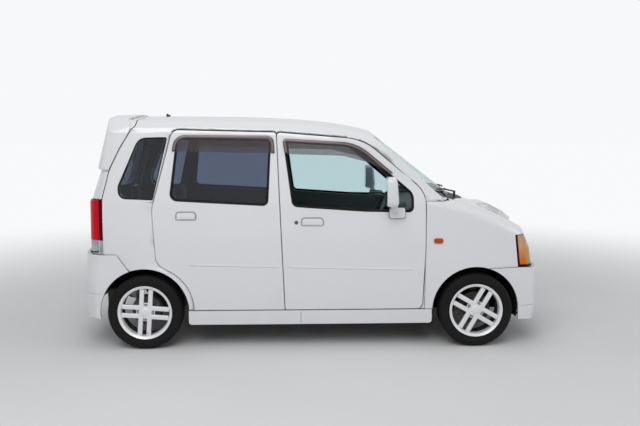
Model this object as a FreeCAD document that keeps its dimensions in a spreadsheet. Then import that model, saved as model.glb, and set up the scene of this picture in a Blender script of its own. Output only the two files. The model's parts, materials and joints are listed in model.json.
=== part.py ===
"""A small tall four-door hatchback of the kei class, built as separate panels, glass, seats,
running gear and wheels. Millimetres, +X forward, +Y to the car's left, +Z up. The origin is on
the ground, at the middle of the length and the width."""
import FreeCAD
import Part
import Sketcher
import math
import os
import re
from FreeCAD import Placement, Rotation, Vector

doc = FreeCAD.newDocument("kei_car")
sheet = doc.addObject("Spreadsheet::Sheet", "sizes")

# Driving dimensions: name, value in millimetres or degrees, what it sets
SIZES = [
    ("half_length", 1697.5, "bumper tip to the middle of the car"),
    ("half_width", 734, "body side at the door crease, at the middle pillar"),
    ("front_axle_x", 1162.5, "front wheel centre"),
    ("rear_axle_x", -1197.5, "rear wheel centre"),
    ("half_track", 650, "wheel centre plane from the middle"),
    ("front_wheel_turn", 30, "how far the front wheels have rolled, in degrees"),
    ("rear_wheel_turn", 4, "how far the rear wheels have rolled, in degrees"),
    ("tyre_radius", 265, "outside of the tyre, which is also the axle height"),
    ("tyre_width", 165, "section width of the tyre"),
    ("rim_radius", 192, "outside of the rim flange"),
    ("rim_half", 82, "half the width of the rim"),
    ("rim_drop", 14, "height of the rim flange"),
    ("rim_flange", 8, "thickness of the rim flange"),
    ("rim_wall", 9, "rim barrel wall"),
    ("spoke_face", 66, "outer face of the spokes from the wheel's middle plane"),
    ("spoke_depth", 26, "thickness of the spokes"),
    ("spoke_width", 31, "width of one bar of a twin spoke"),
    ("spoke_gap", 66, "middle to middle of the two bars of a twin spoke"),
    ("hub_radius", 62, "middle disc of the rim"),
    ("stub_radius", 15, "stub axle"),
    ("stub_clearance", 0.05, "stub axle to hub bore"),
    ("hub_back", 38, "radius of the hub behind the spokes"),
    ("disc_radius", 118, "front brake disc"),
    ("disc_inner", 10, "outer face of the brake disc from the wheel's middle plane"),
    ("disc_thick", 10, "thickness of the brake disc"),
    ("drum_radius", 105, "rear brake drum"),
    ("drum_inner", 5, "outer face of the brake drum from the wheel's middle plane"),
    ("drum_depth", 45, "depth of the brake drum"),
    ("kingpin_y", 600, "steering axis from the middle"),
    ("kingpin_radius", 9, "ball joint pins at the knuckle"),
    ("arch_radius", 314, "wheel arch opening"),
    ("liner_wall", 6, "wheel arch liner"),
    ("front_liner_y", 372, "inner wall of the front wheel arches"),
    ("rear_liner_y", 520, "inner wall of the rear wheel arches"),
    ("sill_z", 178, "bottom of the side sills"),
    ("door_bottom_z", 282, "bottom of the doors"),
    ("crease_z", 585, "door crease"),
    ("belt_z", 1040, "waist line"),
    ("shut_gap", 6.6, "gap beside a moving panel"),
    ("door_depth", 60, "thickness of a door"),
    ("door_step", 20, "thickness of a door's outer lip"),
    ("seal_gap", 6, "door to the flange it shuts against"),
    ("side_depth", 100, "outside of the body side to its inner face"),
    ("pillar_cover", 55, "how far the pillars reach behind a door's edge"),
    ("roof_depth", 34, "roof with its lining"),
    ("tailgate_depth", 55, "thickness of the tailgate"),
    ("bonnet_depth", 26, "thickness of the bonnet with its frame"),
    ("fender_depth", 12, "front wing panel"),
    ("bumper_depth", 20, "bumper skin"),
    ("lamp_split_z", 781, "bottom of the red lens of a tail lamp"),
    ("glass_inset", 6, "outside of the body to the glass"),
    ("glass_thick", 5, "side and rear glass"),
    ("seat_clearance", 0.3, "glass edge to its opening, and parts that rest on each other"),
    ("floor_z", 200, "underside of the floor"),
    ("floor_thick", 26, "floor with its carpet"),
    ("load_floor_z", 400, "underside of the floor behind the rear seat"),
    ("bulkhead_x", 905, "rear face of the bulkhead"),
    ("hinge_radius", 3, "door and bonnet hinge pins"),
    ("hinge_length", 60, "height of a hinge arm"),
    ("hinge_back", 50, "door hinge axis behind the door's leading edge"),
    ("hinge_inset", 10.5, "door hinge axis inside the crease"),
    ("hinge_step", 40, "how far the inner part of a door stands back at its hinge edge"),
    ("gate_axis_x", -1308, "tailgate hinge axis"),
    ("gate_axis_z", 1612, "tailgate hinge axis"),
    ("gate_nose", 58, "radius of the tailgate's front edge about its hinge"),
    ("gate_pin_y", 430, "tailgate hinges from the middle"),
    ("gate_pin", 5, "radius of the tailgate's hinge pins"),
    ("bonnet_axis_x", 985, "bonnet hinge axis"),
    ("bonnet_axis_z", 1044, "bonnet hinge axis"),
    ("bonnet_half", 612, "half the bonnet's width"),
    ("spoiler_proud", 14, "how far the roof spoiler stands off the body"),
    ("skirt_proud", 6, "how far skirts and bumpers stand off the body"),
    ("mirror_height", 205, "door mirror housing"),
    ("mirror_width", 150, "door mirror housing, outwards"),
    ("front_seat_x", 95, "middle of the front seat cushions"),
    ("front_seat_y", 320, "front seats from the middle"),
    ("rear_seat_x", -760, "middle of the rear seat cushion"),
    ("steering_x", 470, "middle of the steering wheel"),
    ("steering_z", 905, "middle of the steering wheel"),
    ("steering_tilt", 28, "fall of the steering column, in degrees"),
    ("steering_radius", 176, "steering wheel"),
    ("steering_grip", 14, "radius of the steering wheel's rim in section"),
    ("steering_hub", 55, "radius of the steering wheel's middle pad"),
    ("column_radius", 24, "steering column"),
    ("column_length", 190, "steering column, from the pad into the dashboard"),
    ("spoke_bar", 10, "radius of a steering wheel spoke"),
    ("rail_y", 330, "front side rails from the middle"),
    ("rail_width", 60, "width of a front side rail"),
    ("engine_x", 1090, "rear face of the engine"),
    ("engine_length", 300, "engine, along the car"),
    ("engine_z", 250, "underside of the engine"),
    ("engine_height", 470, "height of the engine"),
    ("floor_step_x", -700, "rear end of the front floor"),
    ("tank_z", 240, "underside of the fuel tank"),
    ("tank_length", 360, "fuel tank, along the car"),
    ("tank_width", 760, "fuel tank, across the car"),
    ("tank_round", 24, "radius of the fuel tank's upright edges"),
    ("pipe_radius", 22, "exhaust pipe"),
    ("pipe_y", 60, "exhaust pipe from the middle"),
    ("pipe_z", 177, "height of the exhaust pipe"),
    ("pipe_start_x", 930, "front end of the exhaust pipe"),
    ("pipe_end_x", -1380, "rear end of the straight exhaust pipe"),
    ("silencer_radius", 70, "exhaust silencer"),
    ("silencer_length", 490, "exhaust silencer, across the car"),
    ("silencer_x", -1410, "middle of the silencer"),
    ("silencer_z", 300, "height of the silencer"),
    ("tailpipe_radius", 20, "exhaust tailpipe"),
    ("antenna_radius", 9, "roof antenna mast"),
    ("wiper_lift", 14, "middle of the wiper blades off the windscreen"),
    ("plate_hole_pitch", 210, "number plate screws, middle to middle"),
    ("plate_hole_radius", 3, "number plate screw holes"),
    ("tow_eye_radius", 17, "inside of the towing eyes"),
    ("tow_eye_front_z", 166, "height of the front towing eye, below the bumper"),
    ("tow_eye_rear_z", 185, "height of the rear towing eye, below the bumper"),
]
for row, (name, value, note) in enumerate(SIZES, start=1):
    sheet.set(f"A{row}", name)
    sheet.set(f"B{row}", str(value))
    sheet.setAlias(f"B{row}", name)
    sheet.set(f"C{row}", note)
doc.recompute()


class Sizes:
    """Reads a driving dimension from the sheet by its name."""

    def __getattr__(self, name):
        return float(sheet.get(name))


s = Sizes()
RIGHT, LEFT = -1, 1
SIDES = (("right", RIGHT), ("left", LEFT))

# Cross-sections of the cabin: x, half width less the widest, roof height at the rails
CABIN_SECTIONS = [
    (-1760, -22, 1612), (-1200, -4, 1630), (-500, 0, 1624),
    (0, 0, 1598), (450, -3, 1520), (795, -7, 1400), (1250, -29, 1230),
]
# Cross-sections of the nose: x, half width less the widest, height of the wing's shoulder
NOSE_SECTIONS = [(795, -7, 1078), (1000, -12, 1036), (1250, -20, 944), (1450, -36, 850), (1700, -70, 705)]
# Plan outlines: height, screen or nose x at the middle, its slope to the side in degrees,
# tail x at the middle
CABIN_LEVELS = [(100, 1150, 17, -1655), (1046, 1150, 17, -1655), (1495, 520, 8, -1500), (1750, 161, 6, -1395)]
NOSE_LEVELS = [
    (100, 1665, 7, -1000), (575, 1665, 7, -1000), (700, 1648, 7, -1000), (807, 1612, 8, -1000),
    (1100, 1480, 8, -1000),
]
# Bumper faces in side view: height, how far behind the tip, slope in plan to the side in degrees
FRONT_BUMPER_LEVELS = [(100, -34, 7), (262, -8, 7), (300, -4, 7), (500, 0, 7), (574, -16, 7), (720, -44, 7)]
REAR_BUMPER_LEVELS = [(100, -34, 7), (260, -10, 7), (480, 0, 7), (720, -24, 7)]
SPOILER_LEVELS = [(1200, 800, 6, -1590), (1300, 800, 6, -1584), (1660, 800, 6, -1492), (1750, 800, 6, -1465)]
CORNER_RADIUS = 200
FRONT_BOW, REAR_BOW = 1300, 2400
TAIL_SLOPE = 7
SECTION_FOOT = 150
SHOULDER_RADIUS = 75
ROOF_RAIL_RADIUS = 110


def corner_wire(points, plane="XZ", at=0.0):
    """A closed wire of lines and tangent arcs through corners, each (a, b, radius)."""
    def lift(p):
        if plane == "XZ":
            return Vector(p.x, at, p.y)
        return Vector(at, p.x, p.y) if plane == "YZ" else Vector(p.x, p.y, at)

    cuts = []
    for i, (a, b, radius) in enumerate(points):
        corner = Vector(a, b, 0)
        back = (Vector(*points[i - 1][:2], 0) - corner).normalize()
        ahead = (Vector(*points[(i + 1) % len(points)][:2], 0) - corner).normalize()
        if radius <= 0.01:
            cuts.append((corner, None, corner))
            continue
        angle = back.getAngle(ahead)
        run = radius / math.tan(angle / 2)
        inward = (back + ahead).normalize()
        middle = corner + inward * (radius / math.sin(angle / 2) - radius)
        cuts.append((corner + back * run, middle, corner + ahead * run))
    edges = []
    for i, (start, middle, end) in enumerate(cuts):
        if middle is not None:
            edges.append(Part.Arc(lift(start), lift(middle), lift(end)).toShape())
        following = cuts[(i + 1) % len(cuts)][0]
        if (following - end).Length > 1e-6:
            edges.append(Part.LineSegment(lift(end), lift(following)).toShape())
    return Part.Wire(edges)


def grown(points, by):
    """The same corners with every side moved outwards, and the radii changed to suit."""
    count = len(points)
    area = sum(points[i - 1][0] * points[i][1] - points[i][0] * points[i - 1][1] for i in range(count))
    sign = 1 if area > 0 else -1
    sides = []
    for i in range(count):
        a, b = Vector(*points[i - 1][:2], 0), Vector(*points[i][:2], 0)
        along = (b - a).normalize()
        out = Vector(along.y, -along.x, 0) * sign
        sides.append((a + out * by, along))
    moved = []
    for i in range(count):
        (p, u), (q, v) = sides[i], sides[(i + 1) % count]
        cross = u.x * v.y - u.y * v.x
        t = ((q.x - p.x) * v.y - (q.y - p.y) * v.x) / cross
        radius = points[i][2]
        if radius > 0:
            radius = max(radius + by * (1 if cross * sign > 0 else -1), 1.0)
        moved.append((p.x + u.x * t, p.y + u.y * t, radius))
    return moved


def prism(points, low, high, plane="XZ"):
    """A solid of a corner outline, from low to high across its plane."""
    face = Part.Face(corner_wire(points, plane, low))
    across = {"XZ": Vector(0, 1, 0), "YZ": Vector(1, 0, 0), "XY": Vector(0, 0, 1)}[plane]
    return face.extrude(across * (high - low))


def box(x0, x1, y0, y1, z0, z1):
    """A box between two opposite corners, in any order."""
    low = Vector(min(x0, x1), min(y0, y1), min(z0, z1))
    return Part.makeBox(abs(x1 - x0), abs(y1 - y0), abs(z1 - z0), low)


def rod(start, end, radius):
    """A round bar between two points."""
    start, end = Vector(*start), Vector(*end)
    return Part.makeCylinder(radius, (end - start).Length, start, end - start)


def mirrored(points):
    """A half section, listed from the foot up, closed with its mirror image."""
    return points + [(-a, b, r) for a, b, r in reversed(points) if a > 0]


def cabin_section(width, roof):
    side = s.half_width + width
    return mirrored([
        (side - 14, SECTION_FOOT, 0), (side, s.crease_z, 0), (side + 5, s.crease_z + 215, 1500),
        (side - 14, s.belt_z, 300), (side - 100, roof - 12, ROOF_RAIL_RADIUS), (0, roof + 28, 2600),
    ])


def nose_section(width, shoulder):
    side = s.half_width + width
    return mirrored([
        (side - 14, SECTION_FOOT, 0), (side, s.crease_z, 0), (side - 8, shoulder, SHOULDER_RADIUS),
        (side - 190, shoulder + 34, 300), (0, shoulder + 54, 3000),
    ])


def plan_outline(front, slope, tail):
    """A plan view of the body: bowed nose or screen, sides clear of the body, rounded tail."""
    half = s.half_width
    front_corner = front - half * math.tan(math.radians(slope))
    tail_corner = tail + half * math.tan(math.radians(TAIL_SLOPE))
    front_radius = CORNER_RADIUS if front > 1400 else 60
    return [
        (front, 0, FRONT_BOW), (front_corner, half, front_radius), (tail_corner, half, CORNER_RADIUS),
        (tail, 0, REAR_BOW), (tail_corner, -half, CORNER_RADIUS), (front_corner, -half, front_radius),
    ]


def widened(outline, by=45):
    """Leaves the corners where they are and moves the long sides out, clear of the body side."""
    (front, a, b, tail, c, d) = outline
    middle = (a[0] + b[0]) / 2
    return [front, a, (middle, a[1] + by, 0), b, tail, c, (middle, c[1] - by, 0), d]


def hull(sections, make, levels, inset=0.0):
    """The body's outer form, or a smaller copy a wall's thickness inside it."""
    along = Part.makeLoft([corner_wire(grown(make(w, h), -inset), "YZ", x) for x, w, h in sections], True, False)
    rings = [corner_wire(grown(widened(plan_outline(f, a, t)), -inset), "XY", z) for z, f, a, t in levels]
    return along.common(Part.makeLoft(rings, True, True))


stored = {}


def cabin(inset=0.0):
    if ("cabin", inset) not in stored:
        stored["cabin", inset] = hull(CABIN_SECTIONS, cabin_section, CABIN_LEVELS, inset)
    return stored["cabin", inset]


def nose(inset=0.0):
    if ("nose", inset) not in stored:
        stored["nose", inset] = hull(NOSE_SECTIONS, nose_section, NOSE_LEVELS, inset)
    return stored["nose", inset]


def front_bumper_form(inset=0.0):
    bow = FRONT_BOW * (1 / math.cos(math.radians(7)) - 1)
    levels = [(z, s.half_length - s.skirt_proud + x + bow, slope, -1000) for z, x, slope in FRONT_BUMPER_LEVELS]
    sections = [(x, w, max(h, 900)) for x, w, h in NOSE_SECTIONS]
    return hull(sections, nose_section, levels, inset - s.skirt_proud)


def rear_bumper_form(inset=0.0):
    bow = REAR_BOW * (1 / math.cos(math.radians(TAIL_SLOPE)) - 1)
    levels = [(z, 1000, slope, -s.half_length + s.skirt_proud - x - bow) for z, x, slope in REAR_BUMPER_LEVELS]
    return hull(CABIN_SECTIONS, cabin_section, levels, inset - s.skirt_proud)


def side(inset=0.0):
    """The right-hand side of the cabin form."""
    if ("side", inset) not in stored:
        stored["side", inset] = cabin(inset).common(box(-1800, 1300, -FAR, -450, 100, 1700))
    return stored["side", inset]


def flat(points, plane="XZ"):
    return Part.Face(corner_wire(points, plane, 0.0))


def disc(a, b, radius, plane="XZ"):
    across = ACROSS[plane]
    middle = {"XZ": Vector(a, 0, b), "YZ": Vector(0, a, b), "XY": Vector(a, b, 0)}[plane]
    return Part.Face(Part.Wire(Part.makeCircle(radius, middle, across)))


def raised(shape, low, high, plane="XZ"):
    """Solids of flat faces, from low to high across their plane."""
    across = ACROSS[plane]
    solids = [face.extrude(across * (high - low)).translated(across * low) for face in shape.Faces]
    return solids[0] if len(solids) == 1 else solids[0].fuse(solids[1:]).removeSplitter()


def handed(shape, side_sign):
    """The right-hand piece, or its mirror image for the left."""
    return shape if side_sign == RIGHT else shape.mirror(Vector(0, 0, 0), Vector(0, 1, 0))


def both(shape):
    return [shape, handed(shape, LEFT)]


def largest(shape):
    """The main solid of a shape, without slivers that a cut left."""
    return max(shape.Solids, key=lambda solid: solid.Volume)


pieces = []


def add(label, *shapes, at=None):
    """A piece of the car: one object of the document, of one or more solids."""
    piece = doc.addObject("Part::Feature", label)
    piece.Label = label
    solids = [solid for shape in shapes for solid in shape.Solids]
    piece.Shape = solids[0] if len(solids) == 1 else Part.makeCompound(solids)
    if at is not None:
        piece.Placement = at
    pieces.append(piece)
    return piece


def with_sheet(rule):
    """A rule with the sheet's name before each driving dimension."""
    return re.sub(r"[a-z]+(_[a-z]+)+", lambda found: "sizes." + found.group(), rule)


def value_of(rule):
    """What a rule gives with the present dimensions."""
    found = sheet.evalExpression(with_sheet(rule))
    return float(getattr(found, "Value", found))


def bound(kind, label, rules):
    """An object whose properties follow rules, each written with the names of driving dimensions."""
    thing = doc.addObject(kind, label)
    thing.Label = label
    for name, rule in rules.items():
        thing.setExpression(name, with_sheet(rule))
    return thing


def joined(label, kind, parts):
    """Several objects as one, by a fusion or a cut that stays in the document."""
    whole = doc.addObject(kind, label)
    whole.Label = label
    if kind == "Part::Cut":
        whole.Base, whole.Tool = parts
    else:
        whole.Shapes = parts
    return whole


def bound_sketch(body, plane, name, loops, offset=None):
    """A sketch of closed loops of straight lines, where each corner is held by two rules: across and up."""
    sketch = body.newObject("Sketcher::SketchObject", name)
    origin = [item for item in body.Origin.OriginFeatures if item.Role == plane][0]
    sketch.AttachmentSupport = [(origin, "")]
    sketch.MapMode = "FlatFace"
    if offset:
        sketch.setExpression("AttachmentOffset.Base.z", with_sheet(offset))
    for loop in loops:
        first = sketch.GeometryCount
        spots = [Vector(value_of(across), value_of(up), 0) for across, up in loop]
        for i, spot in enumerate(spots):
            sketch.addGeometry(Part.LineSegment(spot, spots[(i + 1) % len(spots)]))
        for i, rules in enumerate(loop):
            line = first + i
            sketch.addConstraint(Sketcher.Constraint("Coincident", line, 2, first + (i + 1) % len(loop), 1))
            for direction, rule in zip(("DistanceX", "DistanceY"), rules):
                index = sketch.addConstraint(Sketcher.Constraint(direction, -1, 1, line, 1, value_of(rule)))
                sketch.setExpression(f"Constraints[{index}]", with_sheet(rule))
    return sketch


FAR = 900.0
TOP = 1800.0
ACROSS = {"XZ": Vector(0, 1, 0), "YZ": Vector(1, 0, 0), "XY": Vector(0, 0, 1)}
gap = s.shut_gap
axle_z = s.tyre_radius
seat = s.seat_clearance
ROOF_SEAM = 530


def b_line(z):
    """The shut line between the doors."""
    return -206 - (z - s.door_bottom_z) * B_SLOPE


B_SLOPE = 0.0454
DOOR_TOP = 1534
FRONT_EDGE = 792
DOOR_FOOT = s.door_bottom_z
FRONT_DOOR = [
    (b_line(DOOR_FOOT) + gap / 2, DOOR_FOOT, 8), (b_line(DOOR_TOP) + gap / 2, DOOR_TOP, 22), (348, 1485, 380),
    (FRONT_EDGE, 1113, 190), (FRONT_EDGE, 700, 900), (774, DOOR_FOOT, 40),
]
# The rear door's lower corner follows the wheel arch: two tangents and their meeting point
ARCH_REACH = s.arch_radius + 36
ARCH_CORNER = ARCH_REACH / math.cos(math.radians(29))
REAR_DOOR = [
    (b_line(DOOR_FOOT) - gap / 2, DOOR_FOOT, 8), (s.rear_axle_x + ARCH_REACH, DOOR_FOOT, 4),
    (s.rear_axle_x + ARCH_CORNER * math.cos(math.radians(32)), axle_z + ARCH_CORNER * math.sin(math.radians(32)),
     ARCH_REACH * 0.9),
    (-1108, 612, 80), (-1134, 1000, 260), (-990, 1551, 56), (b_line(DOOR_TOP) - gap / 2, DOOR_TOP, 22),
]
WINDOW_FRONT = [
    (-152, 1016, 46), (-216, 1478, 30), (300, 1447, 330), (706, 1106, 90), (706, 974, 36), (360, 980, 800),
]
WINDOW_REAR = [(-322, 1021, 40), (-300, 1486, 40), (-962, 1500, 48), (-1014, 1060, 52)]
VISOR_FRONT = [
    (-204, 1384, 6), (-222, 1494, 24), (306, 1463, 340), (590, 1226, 5), (400, 1322, 240), (200, 1372, 240),
]
VISOR_REAR = [(-274, 1390, 6), (-284, 1512, 50), (-978, 1519, 90), (-994, 1402, 6)]
QUARTER_WINDOW = [(-1128, 1064, 6), (-1026, 1502, 12), (-1228, 1498, 80), (-1372, 1160, 70), (-1368, 1073, 56)]
GATE_WINDOW = [(-570, 1096, 60), (-505, 1462, 60), (505, 1462, 60), (570, 1096, 60)]
SCREEN = [(-668, 1064, 50), (-536, 1500, 60), (536, 1500, 60), (668, 1064, 50)]
TAIL_LINE = [(-1290, 1545, 0), (-1361, 1426, 200), (-1433, 1277, 300), (-1484, 1070, 0)]
REAR_BUMPER = [(-1800, 684, 0), (-1384, 684, 30), (-1290, 545, 0), (-1290, 225, 0), (-1800, 225, 0)]
LAMP_TOP, LAMP_INNER, LAMP_EDGE = 1066, 592, -1478
LAMP_FOOT, LAMP_HEAD = 574, 806
REAR_LAMP_FOOT = 684
HINGE_HEIGHTS = (500, 820)


def gate_outline(by=0.0):
    """What swings with the tailgate in side view, with the round front edge at its hinge."""
    outline = TAIL_LINE + [(-1484, 690, 0), (-1800, 690, 0), (-1800, TOP, 0), (-1290, TOP, 0)]
    x, z = s.gate_axis_x, s.gate_axis_z
    ahead = flat([(x, z, 0), (x, TOP + 50, 0), (x + 108, TOP + 50, 0), (x + 108, z, 0)])
    return flat(grown(outline, by)).cut(ahead).fuse(disc(x, z, s.gate_nose + by)).removeSplitter()


def lamp_block(by=0.0):
    """The right-hand rear corner below the waist, which the tail lamp fills."""
    return box(-1800, LAMP_EDGE, -FAR, -LAMP_INNER + by, REAR_LAMP_FOOT - by, LAMP_TOP + by)


def hinge_line(which):
    """A door's hinge axis on the right: the point at ground level, and its direction."""
    if which == "front":
        return Vector(FRONT_EDGE - s.hinge_back, -(s.half_width - 6.4 - s.hinge_inset), 0), Vector(0, 0, 1)
    x = b_line(0) - gap / 2 - s.hinge_back
    return Vector(x, -(s.half_width - s.hinge_inset), 0), Vector(-B_SLOPE, 0, 1)


def hinge_rods(which, radius, extra):
    point, rise = hinge_line(which)
    rods = []
    for z in HINGE_HEIGHTS:
        rods.append(rod(point + rise * (z - extra), point + rise * (z + s.hinge_length + extra), radius))
    return rods


def hinge_arms(which):
    """Arms from the pillar to the pins, inside slots of the door's leading edge."""
    point, rise = hinge_line(which)
    arms = []
    for z, pin in zip(HINGE_HEIGHTS, hinge_rods(which, s.hinge_radius, 12)):
        x = (point + rise * (z + s.hinge_length / 2)).x
        arm = box(x - 4, x + 4, point.y, -600, z, z + s.hinge_length)
        eye = rod(point + rise * z, point + rise * (z + s.hinge_length), 4)
        arms.append(arm.cut(side(s.door_depth + s.seal_gap - seat)).fuse([eye, pin]))
    return arms


def side_frame():
    front = s.bulkhead_x - seat
    outline = [
        (front, 208, 0), (front, 1040, 0), (front - 22, 1040, 0), (front - 22, 1054, 0), (1000, 1054, 0),
        (1000, TOP, 0), (-1700, TOP, 0), (-1700, 208, 0),
    ]
    arches = [disc(x, axle_z, s.arch_radius) for x in (s.rear_axle_x, s.front_axle_x)]
    face = flat(outline).cut(arches).cut([gate_outline(gap), flat(REAR_BUMPER), flat(grown(QUARTER_WINDOW, seat))])
    face = face.cut([flat(grown(FRONT_DOOR, -s.pillar_cover)), flat(grown(REAR_DOOR, -s.pillar_cover))])
    face = face.cut(flat([(-1800, 100, 0), (-1800, 500, 0), (-1200, 500, 0), (-1200, 100, 0)]))
    wall = raised(face, -FAR, -ROOF_SEAM).common(side(0)).cut(side(s.side_depth))
    sill_top = DOOR_FOOT + 1
    sill = flat([(-1200, 100, 0), (-1200, sill_top, 0), (850, sill_top, 0), (850, 100, 0)])
    doors = flat(grown(FRONT_DOOR, gap)).fuse([flat(grown(REAR_DOOR, gap)), sill]).removeSplitter()
    wall = wall.cut(raised(doors, -FAR, -500).cut(side(s.door_depth + s.seal_gap)))
    wing = flat([(FRONT_EDGE, 100, 0), (FRONT_EDGE, 1050, 0), (1100, 1050, 0), (1100, 100, 0)])
    wall = wall.cut(raised(wing, -FAR, -500).cut(side(24)))
    wall = wall.cut(prism(grown(SCREEN, seat), 300, 1400, "YZ"))
    return largest(wall)


def door(outline, window, which):
    """A door: an outer lip, a smaller body behind it, the window, and slots for the hinge arms."""
    point, rise = hinge_line(which)
    blank = raised(flat(outline).cut(flat(window)), -FAR, -500).common(side(0)).cut(side(s.door_depth))
    edge = s.hinge_back - s.hinge_step
    x0, x1 = (point + rise * 100).x + edge, (point + rise * 1600).x + edge
    hinge_side = flat([(x0, 100, 0), (x1, 1600, 0), (x1 + 300, 1600, 0), (x0 + 300, 100, 0)])
    inner = flat(grown(outline, -12)).cut(hinge_side)
    ring = flat(grown(outline, 2)).cut(inner)
    blank = blank.cut(raised(ring, -FAR, -500).common(side(s.door_step)))
    for z, bore in zip(HINGE_HEIGHTS, hinge_rods(which, s.hinge_radius + s.stub_clearance, 14)):
        x = (point + rise * (z + s.hinge_length / 2)).x
        slot = box(x - 12, x + 70, -FAR, -500, z - 5, z + s.hinge_length + 5)
        blank = blank.cut(slot.common(side(2.5))).cut(bore)
    return largest(blank)


def pane(window, form):
    glass = raised(flat(grown(window, -seat)), -FAR, -500).common(form(s.glass_inset))
    return largest(glass.cut(form(s.glass_inset + s.glass_thick)))


def visor(outline):
    """A rain visor that stands off the door frame above the window."""
    return largest(raised(flat(outline), -FAR, -500).common(side(-8)).cut(side(-seat)))


def door_mirror():
    """A door mirror: a foot on the door's front corner and an upright housing."""
    foot_y = -(s.half_width - 4)
    foot_edge = [(540, 934, 14), (526, 1004, 14), (642, 1010, 14), (636, 936, 14)]
    foot = prism(foot_edge, foot_y - 16, -690).cut(side(-seat))
    top_z = 1026 + s.mirror_height
    case_edge = [(502, 1022, 22), (486, top_z, 34), (574, top_z - 4, 34), (580, 1022, 22)]
    case = prism(case_edge, foot_y - 14 - s.mirror_width, foot_y - 14)
    neck = box(536, 584, foot_y - 60, foot_y - 8, 990, 1040)
    return largest(largest(foot).fuse([case, neck]).removeSplitter())


frame_right = side_frame()
doors_right = {"front": door(FRONT_DOOR, WINDOW_FRONT, "front"), "rear": door(REAR_DOOR, WINDOW_REAR, "rear")}
panes_right = {
    "front": [pane(WINDOW_FRONT, side), visor(VISOR_FRONT)],
    "rear": [pane(WINDOW_REAR, side), visor(VISOR_REAR)],
}
mirror = door_mirror()
for name, sign in SIDES:
    add(f"side_frame_{name}", handed(frame_right, sign))
    for which in ("front", "rear"):
        extras = [mirror] if which == "front" else []
        add(f"door_{which}_{name}", *[handed(shape, sign) for shape in [doors_right[which]] + extras])
        add(f"glazing_{which}_{name}", *[handed(shape, sign) for shape in panes_right[which]])


def gate_rod(y, half, radius):
    """A bar along the tailgate's hinge axis, about a place across the car."""
    return rod((s.gate_axis_x, y - half, s.gate_axis_z), (s.gate_axis_x, y + half, s.gate_axis_z), radius)


def tailgate():
    face = gate_outline()
    blank = raised(face, -FAR, FAR).common(cabin(0)).cut(cabin(s.tailgate_depth))
    blank = blank.cut(both(lamp_block(gap))).cut(prism(GATE_WINDOW, -1800, -1320, "YZ"))
    for y in (-s.gate_pin_y, s.gate_pin_y):
        blank = blank.cut(gate_rod(y, 9, s.gate_nose + 8)).cut(gate_rod(y, 30, s.gate_pin + s.stub_clearance))
    return largest(blank)


def gate_hinges():
    """Arms from under the roof to the tailgate's pins."""
    arms = []
    for y in (-s.gate_pin_y, s.gate_pin_y):
        foot = box(-1248, -1180, y - 4, y + 4, 1572, 1640).common(cabin(s.roof_depth + seat))
        bent = [(-1318, 1600, 5), (-1318, 1624, 5), (-1298, 1624, 5), (-1246, 1590, 0), (-1236, 1572, 0)]
        arms.append(prism(bent, y - 4, y + 4).fuse([foot, gate_rod(y, 28, s.gate_pin)]))
    return arms


def roof():
    front = box(-1700, 900, -ROOF_SEAM + seat, ROOF_SEAM - seat, 1500 + seat, TOP)
    behind = box(-1800, s.gate_axis_x, -FAR, FAR, 1000, TOP)
    panel = cabin(0).common(front).cut(cabin(s.roof_depth))
    return largest(panel.cut([gate_rod(0, FAR, s.gate_nose + gap), behind]))


def spoiler():
    form = hull(CABIN_SECTIONS, cabin_section, SPOILER_LEVELS, -s.spoiler_proud)
    edge = [(-1230, 1570, 0), (-1230, 1720, 0), (-1560, 1720, 0), (-1640, 1290, 0), (-1436, 1272, 0)]
    solid = raised(flat(edge).common(gate_outline()), -FAR, FAR).common(form).cut(cabin(-seat))
    for y in (-s.gate_pin_y, s.gate_pin_y):
        solid = solid.cut(gate_rod(y, 9, 27))
    return largest(solid.cut(box(-1800, -1330, -505, 505, 1000, 1566)))


BONNET = [(1003, -s.bonnet_half, 15), (1347, 0, 1213), (1003, s.bonnet_half, 15), (1750, 590, 0), (1750, -590, 0)]
BONNET_EAR_Y = 579


def bonnet():
    blank = prism(BONNET, 812, 1200, "XY").common(nose(0)).cut(nose(s.bonnet_depth))
    profile = [(1226, 966, 0), (1238, 981, 10), (1362, 982, 60), (1474, 924, 40), (1540, 872, 12), (1526, 836, 0)]
    plan = [(1226, -150, 20), (1226, 150, 20), (1544, 176, 20), (1544, -176, 20)]
    scoop = prism(profile, -220, 220).common(prism(plan, 700, 1200, "XY"))
    mouth = box(1480, 1700, -142, 142, 874, 902)
    blank = blank.fuse(scoop.cut(nose(s.bonnet_depth - 8))).removeSplitter().cut(mouth)
    x, z = s.bonnet_axis_x, s.bonnet_axis_z
    for y in (-BONNET_EAR_Y, BONNET_EAR_Y):
        ear = rod((x, y - 4, z), (x, y + 4, z), 8).fuse(box(x, x + 75, y - 4, y + 4, z - 8, z))
        blank = blank.fuse(ear).cut(rod((x, y - 6, z), (x, y + 6, z), s.hinge_radius + s.stub_clearance))
    return largest(blank)


def bonnet_hinges():
    x, z = s.bonnet_axis_x, s.bonnet_axis_z
    y = -BONNET_EAR_Y
    bracket = box(x - 8, x + 8, y - 17, y - 9, 1030 + seat, z + 7)
    return bracket.fuse(rod((x, y - 11, z), (x, y + 6, z), s.hinge_radius))


WING_FRONT = [(1600, 1300, 0), (1600, LAMP_HEAD, 0), (1441, LAMP_HEAD, 0), (1466, LAMP_FOOT, 0), (1230, 566, 0)]


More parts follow.
